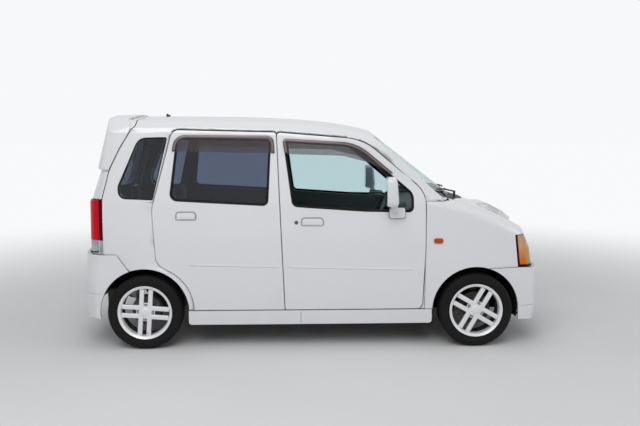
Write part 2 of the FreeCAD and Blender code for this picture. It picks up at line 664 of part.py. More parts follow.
def wing():
    """A front wing over the wheel, from the door to the lamp."""
    outline = [(760, s.door_bottom_z - 3, 0), (760, 1049, 0), (970, 1049, 0), (970, 1300, 0)] + WING_FRONT
    outline = outline + [(1230, s.door_bottom_z - 3, 0)]
    face = flat(outline).cut([flat(grown(FRONT_DOOR, gap)), disc(s.front_axle_x, axle_z, s.arch_radius)])
    face = face.cut(flat([(1230, 200, 0), (1230, 565, 0), (1500, 565, 0), (1500, 200, 0)]))
    panel = raised(face, -FAR, -430).common(nose(0)).cut(nose(s.fender_depth))
    hood = [(700, -s.bonnet_half - 5, 0), (1003, -s.bonnet_half - 5, 0), (1760, -595, 0), (1760, 0, 0), (700, 0, 0)]
    return largest(panel.cut(prism(hood, 500, 1300, "XY")))


def front_bumper():
    top = LAMP_FOOT - seat
    outline = [
        (1232, 566 - seat, 0), (1466, top, 0), (1800, top, 0), (1800, 190, 0), (1478, 190, 0), (1478, 265, 0),
        (1232, 265, 0),
    ]
    face = flat(outline).cut(disc(s.front_axle_x, axle_z, s.arch_radius))
    skin = raised(face, -FAR, FAR).common(front_bumper_form(0)).cut(front_bumper_form(s.bumper_depth))
    holes = [box(1500, 1800, -330, 330, z, z + 26) for z in (236, 278, 320, 362)]
    for y in (-480, 480):
        holes.append(rod((1500, y, 330), (1800, y, 330), 45))
    for y in (-s.plate_hole_pitch / 2, s.plate_hole_pitch / 2):
        holes.append(rod((1600, y, 480), (1800, y, 480), s.plate_hole_radius))
    return largest(skin.cut(holes))


def rear_bumper():
    face = flat(grown(REAR_BUMPER, -seat)).cut(disc(s.rear_axle_x, axle_z, s.arch_radius))
    face = face.cut(flat([(-1509, 100, 0), (-1509, 265, 0), (-1200, 265, 0), (-1200, 100, 0)]))
    skin = raised(face, -FAR, FAR).common(rear_bumper_form(0)).cut(rear_bumper_form(s.bumper_depth))
    for y in (-s.plate_hole_pitch / 2, s.plate_hole_pitch / 2):
        skin = skin.cut(rod((-1800, y, 480), (-1600, y, 480), s.plate_hole_radius))
    return largest(skin)


def skirt():
    outline = [(-888, 176, 20), (-888, 275, 0), (844, 275, 0), (844, 176, 20)]
    depth = s.door_depth + s.seal_gap - seat
    return largest(raised(flat(outline), -FAR, -ROOF_SEAM - seat).common(side(-s.skirt_proud)).cut(side(depth)))


def lamps_and_grille():
    """Headlamp, corner lamp and fog lamp on the right, and the grille panel between the lamps."""
    x0, x1 = 1400, 1800
    outline = grown([(1441, LAMP_HEAD, 0), (1466, LAMP_FOOT, 0), (1800, LAMP_FOOT, 0), (1800, LAMP_HEAD, 0)], -seat)
    block = raised(flat(outline), -FAR, -385).common(nose(0)).cut(nose(70))
    head = largest(block.common(box(x0, x1, -610, -385, 500, 900)))
    corner_lamp = largest(block.common(box(x0, x1, -FAR, -610 - seat, 500, 900)))
    fog = rod((1560, -480, 330), (1800, -480, 330), 45 - seat).common(front_bumper_form(4)).cut(front_bumper_form(50))
    panel = nose(0).common(box(1583, 1800, -385 + seat, 385 - seat, LAMP_FOOT, LAMP_HEAD)).cut(nose(30))
    slots = [box(1500, 1800, -360, 360, z, z + 20) for z in (650, 682, 714, 746, 778)]
    return head, corner_lamp, largest(fog), largest(panel.cut(slots))


def tail_lamp(bottom, top):
    """One lens of a tail lamp, from a height to another."""
    block = box(-1800, LAMP_EDGE - seat, -FAR, -LAMP_INNER, bottom, top)
    return largest(side(0).common(block).cut(side(60)))


def floor():
    """Floor of the cabin, the step under the rear seat, the load floor and the panel behind it."""
    half = ROOF_SEAM - seat
    step = s.floor_step_x
    raised_part = box(-1530, step + s.floor_thick, -700, 700, s.load_floor_z, s.load_floor_z + s.floor_thick)
    parts = [
        box(step, s.bulkhead_x - seat, -half, half, s.floor_z, s.floor_z + s.floor_thick),
        box(step, step + s.floor_thick, -half, half, s.floor_z, s.load_floor_z + s.floor_thick),
        raised_part.common(cabin(s.side_depth + seat)),
        box(-1530, -1505, -540, 540, s.load_floor_z, 683),
        box(-1552, -1500, -306, -294, s.tow_eye_rear_z - 27, 683),
    ]
    pan = parts[0].fuse(parts[1:]).removeSplitter()
    eye = rod((-1526, -320, s.tow_eye_rear_z), (-1526, -280, s.tow_eye_rear_z), s.tow_eye_radius)
    wells = []
    for x, y in ((s.rear_axle_x, s.rear_liner_y), (s.front_axle_x, s.front_liner_y)):
        wells += both(rod((x, -FAR, axle_z), (x, -y + seat, axle_z), s.arch_radius))
    return largest(pan.cut(wells + [eye]))


def bulkhead():
    """Bulkhead, the cowl on top of it and the strip that carries the windscreen's lower edge."""
    wall = box(s.bulkhead_x, s.bulkhead_x + 25, -FAR, FAR, s.floor_z, 1012)
    cowl = box(s.bulkhead_x, 1300, -600, 600, 1000, 1030)
    rear_edge = grown(BONNET, gap)
    cowl = cowl.cut(prism(rear_edge, 900, 1100, "XY"))
    strip = cabin(0).cut(cabin(30)).common(box(850, 1250, -ROOF_SEAM + seat, ROOF_SEAM - seat, 1020, 1064 - seat))
    solid = wall.common(nose(s.fender_depth + 4)).fuse([cowl, strip])
    well = rod((s.front_axle_x, -FAR, axle_z), (s.front_axle_x, -s.front_liner_y + seat, axle_z), s.arch_radius)
    return largest(solid.cut(both(well)).removeSplitter())


def front_frame():
    """Side rails, radiator support, suspension crossmember and the front towing eye."""
    start = s.bulkhead_x + 25 + seat
    x, half = s.front_axle_x, s.rail_width / 2
    rails = []
    for y in (-s.rail_y, s.rail_y):
        rails += [box(start, 1580, y - half, y + half, 380, 480), box(x - 35, x + 35, y - half, y + half, 140, 400)]
    rails += [box(1560, 1582, -379, 379, 300, 800), box(x - 40, x + 40, -340, 340, 140, 190)]
    rails += [box(1500, 1590, -336, -324, s.tow_eye_front_z - 27, 440), box(1400, 1480, -372, 372, 420, 450)]
    eye = rod((1562, -360, s.tow_eye_front_z), (1562, -300, s.tow_eye_front_z), s.tow_eye_radius)
    return largest(rails[0].fuse(rails[1:]).removeSplitter().cut(eye))


def liner(x, inner, low_z, form, tower):
    """A wheel arch liner: half a drum with an inner wall, and the strut's tower at the front."""
    outer, wall = s.arch_radius - seat, s.liner_wall
    drum = rod((x, -690, axle_z), (x, -inner, axle_z), outer)
    drum = drum.cut(rod((x, -700, axle_z), (x, -inner - wall, axle_z), outer - wall))
    drum = drum.common(box(x - 400, x + 400, -FAR, 0, low_z, 800))
    if tower:
        y = -s.kingpin_y + 78
        drum = drum.fuse(rod((x, y, 540), (x, y, 770), 76)).cut(rod((x, y, 400), (x, y, 764), 70))
        drum = drum.common(form(s.fender_depth + 6))
    else:
        drum = drum.common(form(26))
    return largest(drum)


def seat_solid(width, base, top, heads, foot):
    """A seat about its own middle: cushion, leaning back, head restraints, and a foot if it has one."""
    half = width / 2
    cushion = prism([(-240, base, 30), (-240, base + 150, 40), (240, base + 170, 50), (240, base, 40)], -half, half)
    back = prism([(-160, base + 90, 20), (-260, top, 50), (-350, top, 40), (-290, base + 60, 40)], -half, half)
    parts = [back]
    for y in heads:
        edge = [(-268, top - 30, 10), (-282, top + 160, 30), (-362, top + 150, 30), (-336, top - 30, 10)]
        parts.append(prism(edge, y - 120, y + 120))
    if foot:
        parts.append(box(-190, 190, -190, 190, s.floor_z + s.floor_thick + seat, base + 40))
    return largest(cushion.fuse(parts).removeSplitter())


def dashboard():
    wall = s.bulkhead_x - seat
    profile = [(wall, 690, 0), (wall, 985, 0), (860, 1010, 30), (640, 985, 50), (600, 880, 40), (700, 690, 60)]
    board = prism(profile, -FAR, FAR).common(cabin(s.side_depth + seat))
    console = box(560, 780, -110, 110, 430, 760)
    return largest(board.fuse(console).removeSplitter())


def front_leg(x):
    """Lower arm, ball joint pins, strut with its bracket and spring, on the right."""
    y = -s.kingpin_y
    end = -(s.rail_y + s.rail_width / 2 + seat)
    near = y + 60
    plan = [(x - 16, y, 0), (x + 16, y, 0), (x + 30, near, 0), (x + 30, end, 0), (x - 30, end, 0), (x - 30, near, 0)]
    arm = prism(plan, 150, 168, "XY").fuse(rod((x, y, 150), (x, y, 168), 16))
    lower = rod((x, y, 160), (x, y, 206), s.kingpin_radius)
    bracket = box(x - 20, x + 20, y - 20, y + 100, 392, 412)
    upper = rod((x, y, 346), (x, y, 400), s.kingpin_radius)
    strut = rod((x, y + 78, 396), (x, y + 78, 764 - seat), 17)
    spring = rod((x, y + 78, 596), (x, y + 78, 764 - seat), 52)
    seat_plate = rod((x, y + 78, 586), (x, y + 78, 597), 62)
    return arm.fuse(lower), bracket.fuse([upper, strut, spring, seat_plate])


def rear_axle():
    x, z = s.rear_axle_x, axle_z
    parts = [box(x - 32, x + 32, -580, 580, z - 30, z + 30)]
    edge = [(x, z - 30, 0), (x, z + 30, 0), (-820, 345, 30), (-780, 340, 20), (-780, 290, 20), (-820, 285, 30)]
    for sign in (RIGHT, LEFT):
        parts.append(prism(edge, sign * 470 - 22, sign * 470 + 22))
        parts.append(rod((-800, sign * 420, 318), (-800, sign * 520, 318), 24))
        parts.append(rod((x + 70, sign * 470, 290), (x + 70, sign * 470, s.load_floor_z - seat), 48))
        parts.append(rod((x, sign * 575, z), (x, sign * 590, z), 100))
        parts.append(rod((x, sign * 580, z), (x, sign * 706, z), s.stub_radius))
        parts.append(box(-830, -770, sign * 470 - 40, sign * 470 + 40, 330, s.load_floor_z - seat))
    return largest(parts[0].fuse(parts[1:]).removeSplitter())


def knuckle():
    """Steering knuckle of the right wheel with its stub axle and brake caliper."""
    x, y, z = s.front_axle_x, -s.kingpin_y, axle_z
    post = box(x - 24, x + 24, y - 18, y + 15, 174, 386)
    plate = rod((x, y - 18, z), (x, y + 15, z), 46)
    stub = rod((x, y - 10, z), (x, -706, z), s.stub_radius)
    mount = box(x - 96, x, y - 16, y - 2, z - 26, z + 26)
    face = -s.half_track
    caliper = box(x - 146, x - 72, face - 6, face + 40, z - 34, z + 34)
    caliper = caliper.cut(rod((x, face + 4, z), (x, face + 26, z), s.disc_radius + 6))
    solid = post.fuse([plate, mount, caliper]).removeSplitter()
    for bottom, top in ((150, 212), (340, 420)):
        solid = solid.cut(rod((x, y, bottom), (x, y, top), s.kingpin_radius + s.stub_clearance))
    return largest(solid.fuse(stub))


def tyre():
    bead = s.rim_radius - s.rim_drop + seat
    edge = s.rim_half - s.rim_flange - seat
    half, tread, wall = s.tyre_width / 2, s.tyre_radius, s.rim_radius + 4
    section = [
        (bead, -edge, 0), (wall, -edge, 0), (tread - 37, -half, 30), (tread - 9, 8 - half, 14), (tread, 24 - half, 6),
        (tread, half - 24, 6), (tread - 9, half - 8, 14), (tread - 37, half, 30), (wall, edge, 0), (bead, edge, 0),
    ]
    wire = corner_wire([(y, r, c) for r, y, c in section], "XY")
    face = Part.Face(wire)
    face.rotate(Vector(0, 0, 0), Vector(0, 0, 1), 90)
    return face.revolve(Vector(0, 0, 0), Vector(0, 1, 0), 360)


def screen_point(y, z, off):
    """A point off the windscreen's outside, forwards and up."""
    bow = 1300 * (1 / math.cos(math.radians(17)) - 1)
    slope = (CABIN_LEVELS[1][1] - CABIN_LEVELS[2][1]) / (CABIN_LEVELS[2][0] - CABIN_LEVELS[1][0])
    lean = math.atan(slope)
    x = CABIN_LEVELS[1][1] - bow - slope * (z - CABIN_LEVELS[1][0]) - y * y / 2600
    return Vector(x + off * math.cos(lean), y, z + off * math.sin(lean))


# Wipers: spindle y, y of the blade's two ends, height of the blade at them
WIPERS = [(330, 300, -170, 1088, 1104), (-180, -210, -520, 1088, 1110)]


def wiper(spindle_y, start_y, end_y, start_z, end_z):
    """Spindle on the cowl, arm and blade along the foot of the windscreen."""
    steps = 5
    points = []
    for i in range(steps + 1):
        y = start_y + (end_y - start_y) * i / steps
        points.append(screen_point(y, start_z + (end_z - start_z) * i / steps, s.wiper_lift))
    foot = Vector(screen_point(spindle_y, 1046, 0).x + 22, spindle_y, 1030 + seat)
    top = foot + Vector(0, 0, 46)
    rods = [rod(foot, top + Vector(0, 0, 6), 9), rod(top, points[2], 6)]
    rods += [rod(a, b, 5) for a, b in zip(points, points[1:])]
    rods += [Part.makeSphere(6.5, point) for point in points[1:-1]]
    return largest(rods[0].fuse(rods[1:]))


def steering_wheel(board):
    """Rim, pad, spokes and column, with the column's end let into the dashboard."""
    rim_ring = bound("Part::Torus", "steering_rim", {"Radius1": "steering_radius", "Radius2": "steering_grip"})
    pad = bound("Part::Cylinder", "steering_pad", {"Radius": "steering_hub", "Height": "2 * steering_grip + 6"})
    column = bound("Part::Cylinder", "steering_column", {
        "Radius": "column_radius", "Height": "column_length", "Placement.Base.z": "1.5 * steering_grip"})
    parts = [rim_ring, pad, column]
    for turn in (0, 90, 270):
        rules = {"Radius": "spoke_bar", "Height": "steering_radius - 4"}
        bar = bound("Part::Cylinder", f"steering_spoke_{turn}", rules)
        bar.Placement = Placement(Vector(0, 0, 12), Rotation(Vector(0, 0, 1), turn) * Rotation(Vector(0, 1, 0), 90))
        parts.append(bar)
    wheel = joined("steering_wheel_whole", "Part::MultiFuse", parts)
    tilt = Rotation(Vector(0, 1, 0), 90 + s.steering_tilt)
    wheel.Placement = Placement(Vector(s.steering_x, -s.front_seat_y, s.steering_z), tilt)
    return joined("steering_wheel", "Part::Cut", [wheel, board])


def exhaust():
    """Pipe under the floor, the bend up to the silencer across the car, its tailpipe and its hanger."""
    x, y, z = s.pipe_end_x, s.pipe_y, s.pipe_z
    start_y, end_y = y - 120, y - 120 + s.silencer_length
    runs = [
        ("front_pipe", (s.pipe_start_x, y, z), (x, y, z), "pipe_radius"),
        ("rising_pipe", (x, y, z), (x - 50, y, z + 73), "pipe_radius"),
        ("silencer", (s.silencer_x, start_y, s.silencer_z), (s.silencer_x, end_y, s.silencer_z), "silencer_radius"),
        ("tailpipe", (s.silencer_x + 10, y + 240, s.silencer_z - 40), (-1640, y + 240, 205), "tailpipe_radius"),
    ]
    parts = []
    for name, start, end, radius in runs:
        start, end = Vector(*start), Vector(*end)
        pipe = bound("Part::Cylinder", name, {"Radius": radius})
        pipe.Height = (end - start).Length
        pipe.Placement = Placement(start, Rotation(Vector(0, 0, 1), end - start))
        parts.append(pipe)
    parts.append(bound("Part::Box", "silencer_hanger", {
        "Length": "20", "Width": "20", "Height": "load_floor_z - seat_clearance - silencer_z",
        "Placement.Base.x": "silencer_x - 10", "Placement.Base.y": "pipe_y + 120", "Placement.Base.z": "silencer_z"}))
    return joined("exhaust", "Part::MultiFuse", parts)


def engine_block():
    """The engine and gearbox as one block between the side rails."""
    return bound("Part::Box", "engine_block", {
        "Length": "engine_length", "Width": "2 * rail_y - rail_width - 2 * seat_clearance", "Height": "engine_height",
        "Placement.Base.x": "engine_x", "Placement.Base.y": "rail_width / 2 + seat_clearance - rail_y",
        "Placement.Base.z": "engine_z"})


def fuel_tank():
    """A tank with rounded upright edges, hung under the rear seat behind the step of the floor."""
    body = doc.addObject("PartDesign::Body", "fuel_tank")
    body.Label = "fuel_tank"
    front, rear = "floor_step_x - seat_clearance", "floor_step_x - seat_clearance - tank_length"
    right, left = "0 - tank_width / 2", "tank_width / 2"
    corners = [(rear, right), (front, right), (front, left), (rear, left)]
    pad = body.newObject("PartDesign::Pad", "tank_pad")
    pad.Profile = bound_sketch(body, "XY_Plane", "tank_plan", [corners], "tank_z")
    pad.setExpression("Length", with_sheet("load_floor_z - seat_clearance - tank_z"))
    doc.recompute()
    edges = enumerate(pad.Shape.Edges, start=1)
    upright = [f"Edge{i}" for i, edge in edges if abs(edge.tangentAt(edge.FirstParameter).z) > 0.9]
    rounds = body.newObject("PartDesign::Fillet", "tank_edges")
    rounds.Base = (pad, upright)
    rounds.setExpression("Radius", with_sheet("tank_round"))
    body.Tip = rounds
    return body


# What is turned with the hub behind the spokes: its outer face, its depth and its radius
BRAKES = {"front": ("disc_inner", "disc_thick", "disc_radius"), "rear": ("drum_inner", "drum_depth", "drum_radius")}


def rim(label, end, sign, x, turn):
    """A cast rim: a turned barrel, two pairs of bars across it, and the turned hub with its brake."""
    body = doc.addObject("PartDesign::Body", label)
    body.Label = label
    body.AllowCompound = True
    barrel, inside, outside = "rim_radius - rim_drop", "rim_radius - rim_drop - rim_wall", "rim_radius"
    section = [
        (barrel, "rim_flange - rim_half"), (outside, "rim_flange - rim_half"), (outside, "0 - rim_half"),
        (inside, "0 - rim_half"), (inside, "rim_half"), (outside, "rim_half"), (outside, "rim_half - rim_flange"),
        (barrel, "rim_half - rim_flange"),
    ]
    inner, depth, radius = BRAKES[end]
    bore, back = "stub_radius + stub_clearance", f"{inner} + {depth}"
    face, step, rear = "0 - spoke_face - 1", "8 - spoke_face", "spoke_depth - spoke_face"
    hub = [
        ("0", face), ("hub_radius / 2", face), ("hub_radius / 2", step), ("hub_radius", step), ("hub_radius", rear),
        ("hub_back", rear), ("hub_back", inner), (radius, inner), (radius, back), (bore, back), (bore, step),
        ("0", step),
    ]
    for name, loop in (("barrel", section), ("hub", hub)):
        turned = body.newObject("PartDesign::Revolution", f"{label}_{name}")
        turned.Profile = bound_sketch(body, "XY_Plane", f"{label}_{name}_section", [loop])
        turned.ReferenceAxis = (turned.Profile[0], ["V_Axis"])
        turned.Angle = 360
        doc.recompute()
    reach = f"sqrt(({barrel} - 2)^2 - ((spoke_gap + spoke_width) / 2)^2)"
    near, far = "(spoke_gap - spoke_width) / 2", "(spoke_gap + spoke_width) / 2"
    loops = []
    for a, b in ((near, far), (f"0 - {far}", f"0 - {near}")):
        loops.append([(f"0 - {reach}", a), (reach, a), (reach, b), (f"0 - {reach}", b)])
    bars = body.newObject("PartDesign::Pad", f"{label}_bars")
    bars.Profile = bound_sketch(body, "XZ_Plane", f"{label}_bars_face", loops, "spoke_face - spoke_depth")
    bars.setExpression("Length", with_sheet("spoke_depth"))
    doc.recompute()
    crossed = body.newObject("PartDesign::PolarPattern", f"{label}_crossed")
    crossed.Originals = [bars]
    crossed.Axis = (bars.Profile[0], ["N_Axis"])
    crossed.Angle = 90
    crossed.Occurrences = 2
    body.Tip = crossed
    facing = Rotation(Vector(0, 1, 0), turn) * Rotation(Vector(0, 0, 1), 0 if sign == RIGHT else 180)
    body.Placement = Placement(Vector(x, sign * s.half_track, axle_z), facing)
    return body


def keep(piece):
    pieces.append(piece)
    return piece


WHEELS = [("front", s.front_axle_x, s.front_wheel_turn), ("rear", s.rear_axle_x, s.rear_wheel_turn)]

mast = rod((-1124, 0, 1640), (-1124, 0, 1672), s.antenna_radius)
mast = mast.fuse(rod((-1112, 0, 1640), (-1112, 0, 1664), s.antenna_radius + 3))
add("roof_panel", roof(), mast.cut(cabin(-seat)))
add("tailgate", tailgate())
gate_glass = raised(flat(grown(GATE_WINDOW, -seat), "YZ"), -1800, -1320, "YZ").common(cabin(s.glass_inset))
add("tailgate_glass", gate_glass.cut(cabin(s.glass_inset + s.glass_thick)))
add("roof_spoiler", spoiler())
add("bonnet", bonnet())
screen = raised(flat(grown(SCREEN, -seat), "YZ"), 300, 1400, "YZ").common(cabin(s.glass_inset))
add("fixed_glass", largest(screen.cut(cabin(s.glass_inset + s.glass_thick))), *both(pane(QUARTER_WINDOW, side)))
add("front_wings", *both(wing()))
add("front_bumper", front_bumper())
add("rear_bumper", rear_bumper())
add("side_skirts", *both(skirt()))
head, corner_lamp, fog, grille = lamps_and_grille()
add("headlamps", *both(head), *both(fog))
repeater = prism([(852, 751, 14), (852, 787, 14), (918, 787, 14), (918, 751, 14)], -FAR, -600)
repeater = largest(repeater.common(nose(-8)).cut(nose(-seat)))
add("turn_lamps", *both(corner_lamp), *both(repeater))
clear_lens = tail_lamp(REAR_LAMP_FOOT + seat, s.lamp_split_z)
add("tail_lamps", *both(clear_lens), *both(tail_lamp(s.lamp_split_z + seat, LAMP_TOP)))
add("grille", grille)
door_arms = [largest(arm) for which in ("front", "rear") for arm in hinge_arms(which)]
add("hinges", *[shape for arm in door_arms for shape in both(arm)], *gate_hinges(), *both(bonnet_hinges()))
add("floor_pan", floor())
add("bulkhead", bulkhead())
add("front_frame", front_frame())
liner_front = liner(s.front_axle_x, s.front_liner_y, 205, nose, True)
liner_rear = liner(s.rear_axle_x, s.rear_liner_y, s.load_floor_z, cabin, False)
add("wheel_housings", *both(liner_front), *both(liner_rear))
keep(engine_block())
keep(steering_wheel(add("dashboard", dashboard())))
front_seat = seat_solid(480, 330, 960, [0], True)
for name, sign in SIDES:
    add(f"front_seat_{name}", front_seat, at=Placement(Vector(s.front_seat_x, sign * s.front_seat_y, 0), Rotation()))
bench = seat_solid(1020, s.load_floor_z + s.floor_thick + seat, 940, [-270, 270], False)
add("rear_seat", bench, at=Placement(Vector(s.rear_seat_x, 0, 0), Rotation()))
arm, strut = front_leg(s.front_axle_x)
add("front_suspension", *both(arm), *both(strut))
add("rear_axle", rear_axle())
keep(fuel_tank())
keep(exhaust())
add("wipers", *[wiper(*row) for row in WIPERS])
knuckle_right, tyre_shape = knuckle(), tyre()
for name, sign in SIDES:
    add(f"knuckle_{name}", handed(knuckle_right, sign))
    for end, x, turn in WHEELS:
        keep(rim(f"rim_{end}_{name}", end, sign, x, turn))
        add(f"tyre_{end}_{name}", tyre_shape, at=Placement(Vector(x, sign * s.half_track, axle_z), Rotation()))

doc.recompute()
for thing in doc.Objects:
    if set(thing.State) & {"Invalid", "Error"}:
        raise RuntimeError(f"{thing.Label} did not compute")
for piece in pieces:
    if piece.Shape.isNull() or not piece.Shape.isValid():
        raise RuntimeError(f"{piece.Label} is not a valid shape")
os.makedirs("parts", exist_ok=True)
for piece in pieces:
    piece.Shape.exportStep(f"parts/{piece.Label}.step")
print(len(pieces), "pieces written")
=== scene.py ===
# %% [markdown]
# A small tall hatchback, dressed for its picture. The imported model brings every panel, wheel and
# hinge at its true size, and this file adds what the eye looks for: paint, glass, rubber, cloth,
# lamps, tyres and wheels. It is a lesson in building such things as surfaces worked out with numpy.

# %% Frame
import functools
import json
import math
import bmesh
import bpy
import numpy as np
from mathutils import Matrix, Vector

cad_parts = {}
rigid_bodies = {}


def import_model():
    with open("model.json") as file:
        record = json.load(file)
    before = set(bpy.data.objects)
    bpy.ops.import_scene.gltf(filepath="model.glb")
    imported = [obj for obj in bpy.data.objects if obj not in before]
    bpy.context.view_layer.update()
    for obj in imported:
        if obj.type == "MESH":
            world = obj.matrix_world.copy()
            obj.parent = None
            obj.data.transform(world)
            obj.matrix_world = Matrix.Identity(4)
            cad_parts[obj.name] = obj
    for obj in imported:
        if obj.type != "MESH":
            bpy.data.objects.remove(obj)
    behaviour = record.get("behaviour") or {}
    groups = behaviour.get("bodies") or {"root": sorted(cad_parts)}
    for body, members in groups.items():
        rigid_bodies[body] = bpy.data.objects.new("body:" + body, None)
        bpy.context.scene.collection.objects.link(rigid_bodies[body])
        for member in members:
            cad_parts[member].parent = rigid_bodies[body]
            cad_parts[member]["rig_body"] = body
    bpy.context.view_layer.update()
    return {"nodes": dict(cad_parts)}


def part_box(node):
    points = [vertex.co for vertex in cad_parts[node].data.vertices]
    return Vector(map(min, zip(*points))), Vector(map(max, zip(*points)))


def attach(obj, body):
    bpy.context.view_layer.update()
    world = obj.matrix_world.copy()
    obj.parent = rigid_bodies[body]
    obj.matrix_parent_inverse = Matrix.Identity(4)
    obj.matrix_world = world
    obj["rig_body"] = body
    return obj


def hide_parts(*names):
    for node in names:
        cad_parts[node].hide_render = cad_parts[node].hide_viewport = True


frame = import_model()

SIDES = (("right", -1), ("left", 1))


def mm(*rows):
    """Rows of millimetres as an array in metres."""
    return np.array(rows) / 1000


# %% [markdown]
# The camera stands where the photographer stood: six metres to the car's right, at eye height,
# almost level. A long-ish lens keeps the wheels round. It could be placed by eye, but a fit to the
# wheels, roof and ground of the picture gives numbers that can be trusted. The frame is 640 by 426.

# %% Camera
SENSOR_MM, FRAME_W, FOCAL_PX = 36.0, 640, 787.5
EYE, DOWN, RIGHT = (-0.138, -6.224, 1.593), 6.44, 1.88
scene = bpy.context.scene


def placed(name, data):
    """A new object of the data, linked into the scene."""
    thing = bpy.data.objects.new(name, data)
    scene.collection.objects.link(thing)
    return thing


camera_data = bpy.data.cameras.new("photo_camera")
camera_data.sensor_width = SENSOR_MM
camera_data.lens = FOCAL_PX * SENSOR_MM / FRAME_W
camera_data.clip_end = 200.0
camera = placed("photo_camera", camera_data)
camera.location = EYE
camera.rotation_euler = (math.radians(90 - DOWN), 0.0, math.radians(-RIGHT))
scene.camera = camera
print("lens", round(camera_data.lens, 1), "mm")

# %% [markdown]
# Shaders are built with four small helpers: one feeds inputs, one adds any node, and two stand for
# the nodes that are used most, maths and colour mixes.
# Nodes could be wired one by one, but a page of that hides what a shader does.

# %% Shader nodes


def feed(tree, sockets, values):
    """Gives each named input its value: a number, a colour, or the output of another node."""
    for label, value in values.items():
        if isinstance(value, bpy.types.NodeSocket):
            tree.links.new(value, sockets[label])
        else:
            sockets[label].default_value = (*value, 1) if isinstance(value, tuple) else value


def new_node(tree, kind, output, inputs=None, **settings):
    """Adds a shader node with its settings and inputs, and returns one of its outputs."""
    made = tree.nodes.new("ShaderNode" + kind)
    for label, value in settings.items():
        setattr(made, label, value)
    feed(tree, made.inputs, inputs or {})
    return made.outputs[output]


def maths(tree, operation, a, b=0.5, clamp=False):
    """One math node on sockets or numbers."""
    return new_node(tree, "Math", 0, {0: a, 1: b}, operation=operation, use_clamp=clamp)


def mix(tree, factor, a, b):
    """Colour a where the factor is 0, colour b where it is 1."""
    return new_node(tree, "Mix", "Result", {"Factor": factor, "A": a, "B": b}, data_type="RGBA")


print("kinds of shader node", sum(kind.startswith("ShaderNode") for kind in dir(bpy.types)))

# %% [markdown]
# Studio light: a large soft lamp overhead, a broad one on the camera's side, weak ones in front and
# behind, and a pale world. Big lamps give soft shadows and long, calm highlights. The backdrop is
# white to the camera and through glass, darker in reflections, darker still where it lights the car.

# %% Light
WHITE, MIRRORED, WORLD_LIGHT = (0.93, 0.94, 0.95), 0.6, (0.41, 0.42, 0.44)
scene.view_settings.view_transform = "Standard"


def lamp(name, place, target, size, power):
    """A square area lamp at a place, turned so that its -Z looks at the target."""
    data = bpy.data.lights.new(name, "AREA")
    data.shape, data.size, data.energy = "SQUARE", size, power
    thing = placed(name, data)
    thing.location = place
    x, y, z = np.array(place, float) - np.array(target, float)
    thing.rotation_euler = (math.atan2(math.hypot(x, y), z), 0.0, math.atan2(x, -y))
    return thing


def two_strengths(tree, seen, lit):
    """One colour for the camera and through glass, one that lights, a tone between in reflections."""
    path = tree.nodes.new("ShaderNodeLightPath").outputs
    weight = maths(tree, "MULTIPLY", path["Is Glossy Ray"], MIRRORED)
    weight = maths(tree, "MAXIMUM", path["Is Camera Ray"], weight)
    return mix(tree, maths(tree, "MAXIMUM", weight, path["Is Transmission Ray"]), lit, seen)


top_light = lamp("top_light", (0.0, -0.4, 5.2), (0, 0, 0.5), 5.0, 38)
lamp("side_light", (-1.0, -5.6, 5.2), (0, 0, 0.7), 4.0, 180)
lamp("front_light", (6.0, -1.5, 3.0), (1.0, 0, 0.7), 3.0, 40)
rear_light = lamp("rear_light", (-5.5, 4.0, 3.2), (0, 0, 0.8), 3.0, 40)
top_light.visible_glossy = rear_light.visible_glossy = False

world = bpy.data.worlds.new("studio")
scene.world = world
world.use_nodes = True
sky = world.node_tree
feed(sky, sky.nodes["Background"].inputs, {"Color": two_strengths(sky, WHITE, WORLD_LIGHT)})

# %% [markdown]
# Shared effects are node groups. Fine grain makes a height for moulded plastic, rubber and paint.
# Road dust is a mask that is strong low down and breaks up with noise: real cars carry it on the
# skirts, bumpers and tyres. Weave crosses two waves for seat cloth.

# %% Node groups
SOCKET = "NodeSocketFloat"


def new_group(name, inputs, outputs, build):
    """A node group with numbers in and out; build works out the outputs from the inputs."""
    group = bpy.data.node_groups.new(name, "ShaderNodeTree")
    for label, value in inputs.items():
        group.interface.new_socket(label, in_out="INPUT", socket_type=SOCKET).default_value = value
    for label in outputs:
        group.interface.new_socket(label, in_out="OUTPUT", socket_type=SOCKET)
    given = group.nodes.new("NodeGroupInput").outputs
    ends = group.nodes.new("NodeGroupOutput").inputs
    feed(group, ends, dict(zip(outputs, build(group, given))))
    return group


def coordinates(tree):
    """The place of a point on its own object."""
    return new_node(tree, "TexCoord", "Object")


def xyz(tree):
    """The same place as three outputs."""
    return tuple(new_node(tree, "SeparateXYZ", 0, {0: coordinates(tree)}).node.outputs)


def noise(tree, scale, detail=3.0, rough=0.55):
    """Soft noise of 0 to 1 in object coordinates."""
    return new_node(tree, "TexNoise", "Fac", {
        "Vector": coordinates(tree), "Scale": scale, "Detail": detail, "Roughness": rough})


def grain_of(tree, given):
    """Height: fine noise times the amount. Mask: broad noise."""
    fine = noise(tree, given["Scale"], 2.0)
    return maths(tree, "MULTIPLY", fine, given["Amount"]), noise(tree, 3.0, 4.0)


def dust_of(tree, given):
    """Mask: (1 - height / top) to the power 1.6, times broken noise, times the amount."""
    height = maths(tree, "DIVIDE", xyz(tree)[2], given["Top"])
    low = maths(tree, "POWER", maths(tree, "SUBTRACT", 1.0, height, clamp=True), 1.6)
    broken = maths(tree, "ADD", maths(tree, "MULTIPLY", noise(tree, 9.0, 6.0, 0.65), 1.1), 0.1)
    dusty = maths(tree, "MULTIPLY", low, broken)
    return (maths(tree, "MULTIPLY", dusty, given["Amount"], clamp=True),)


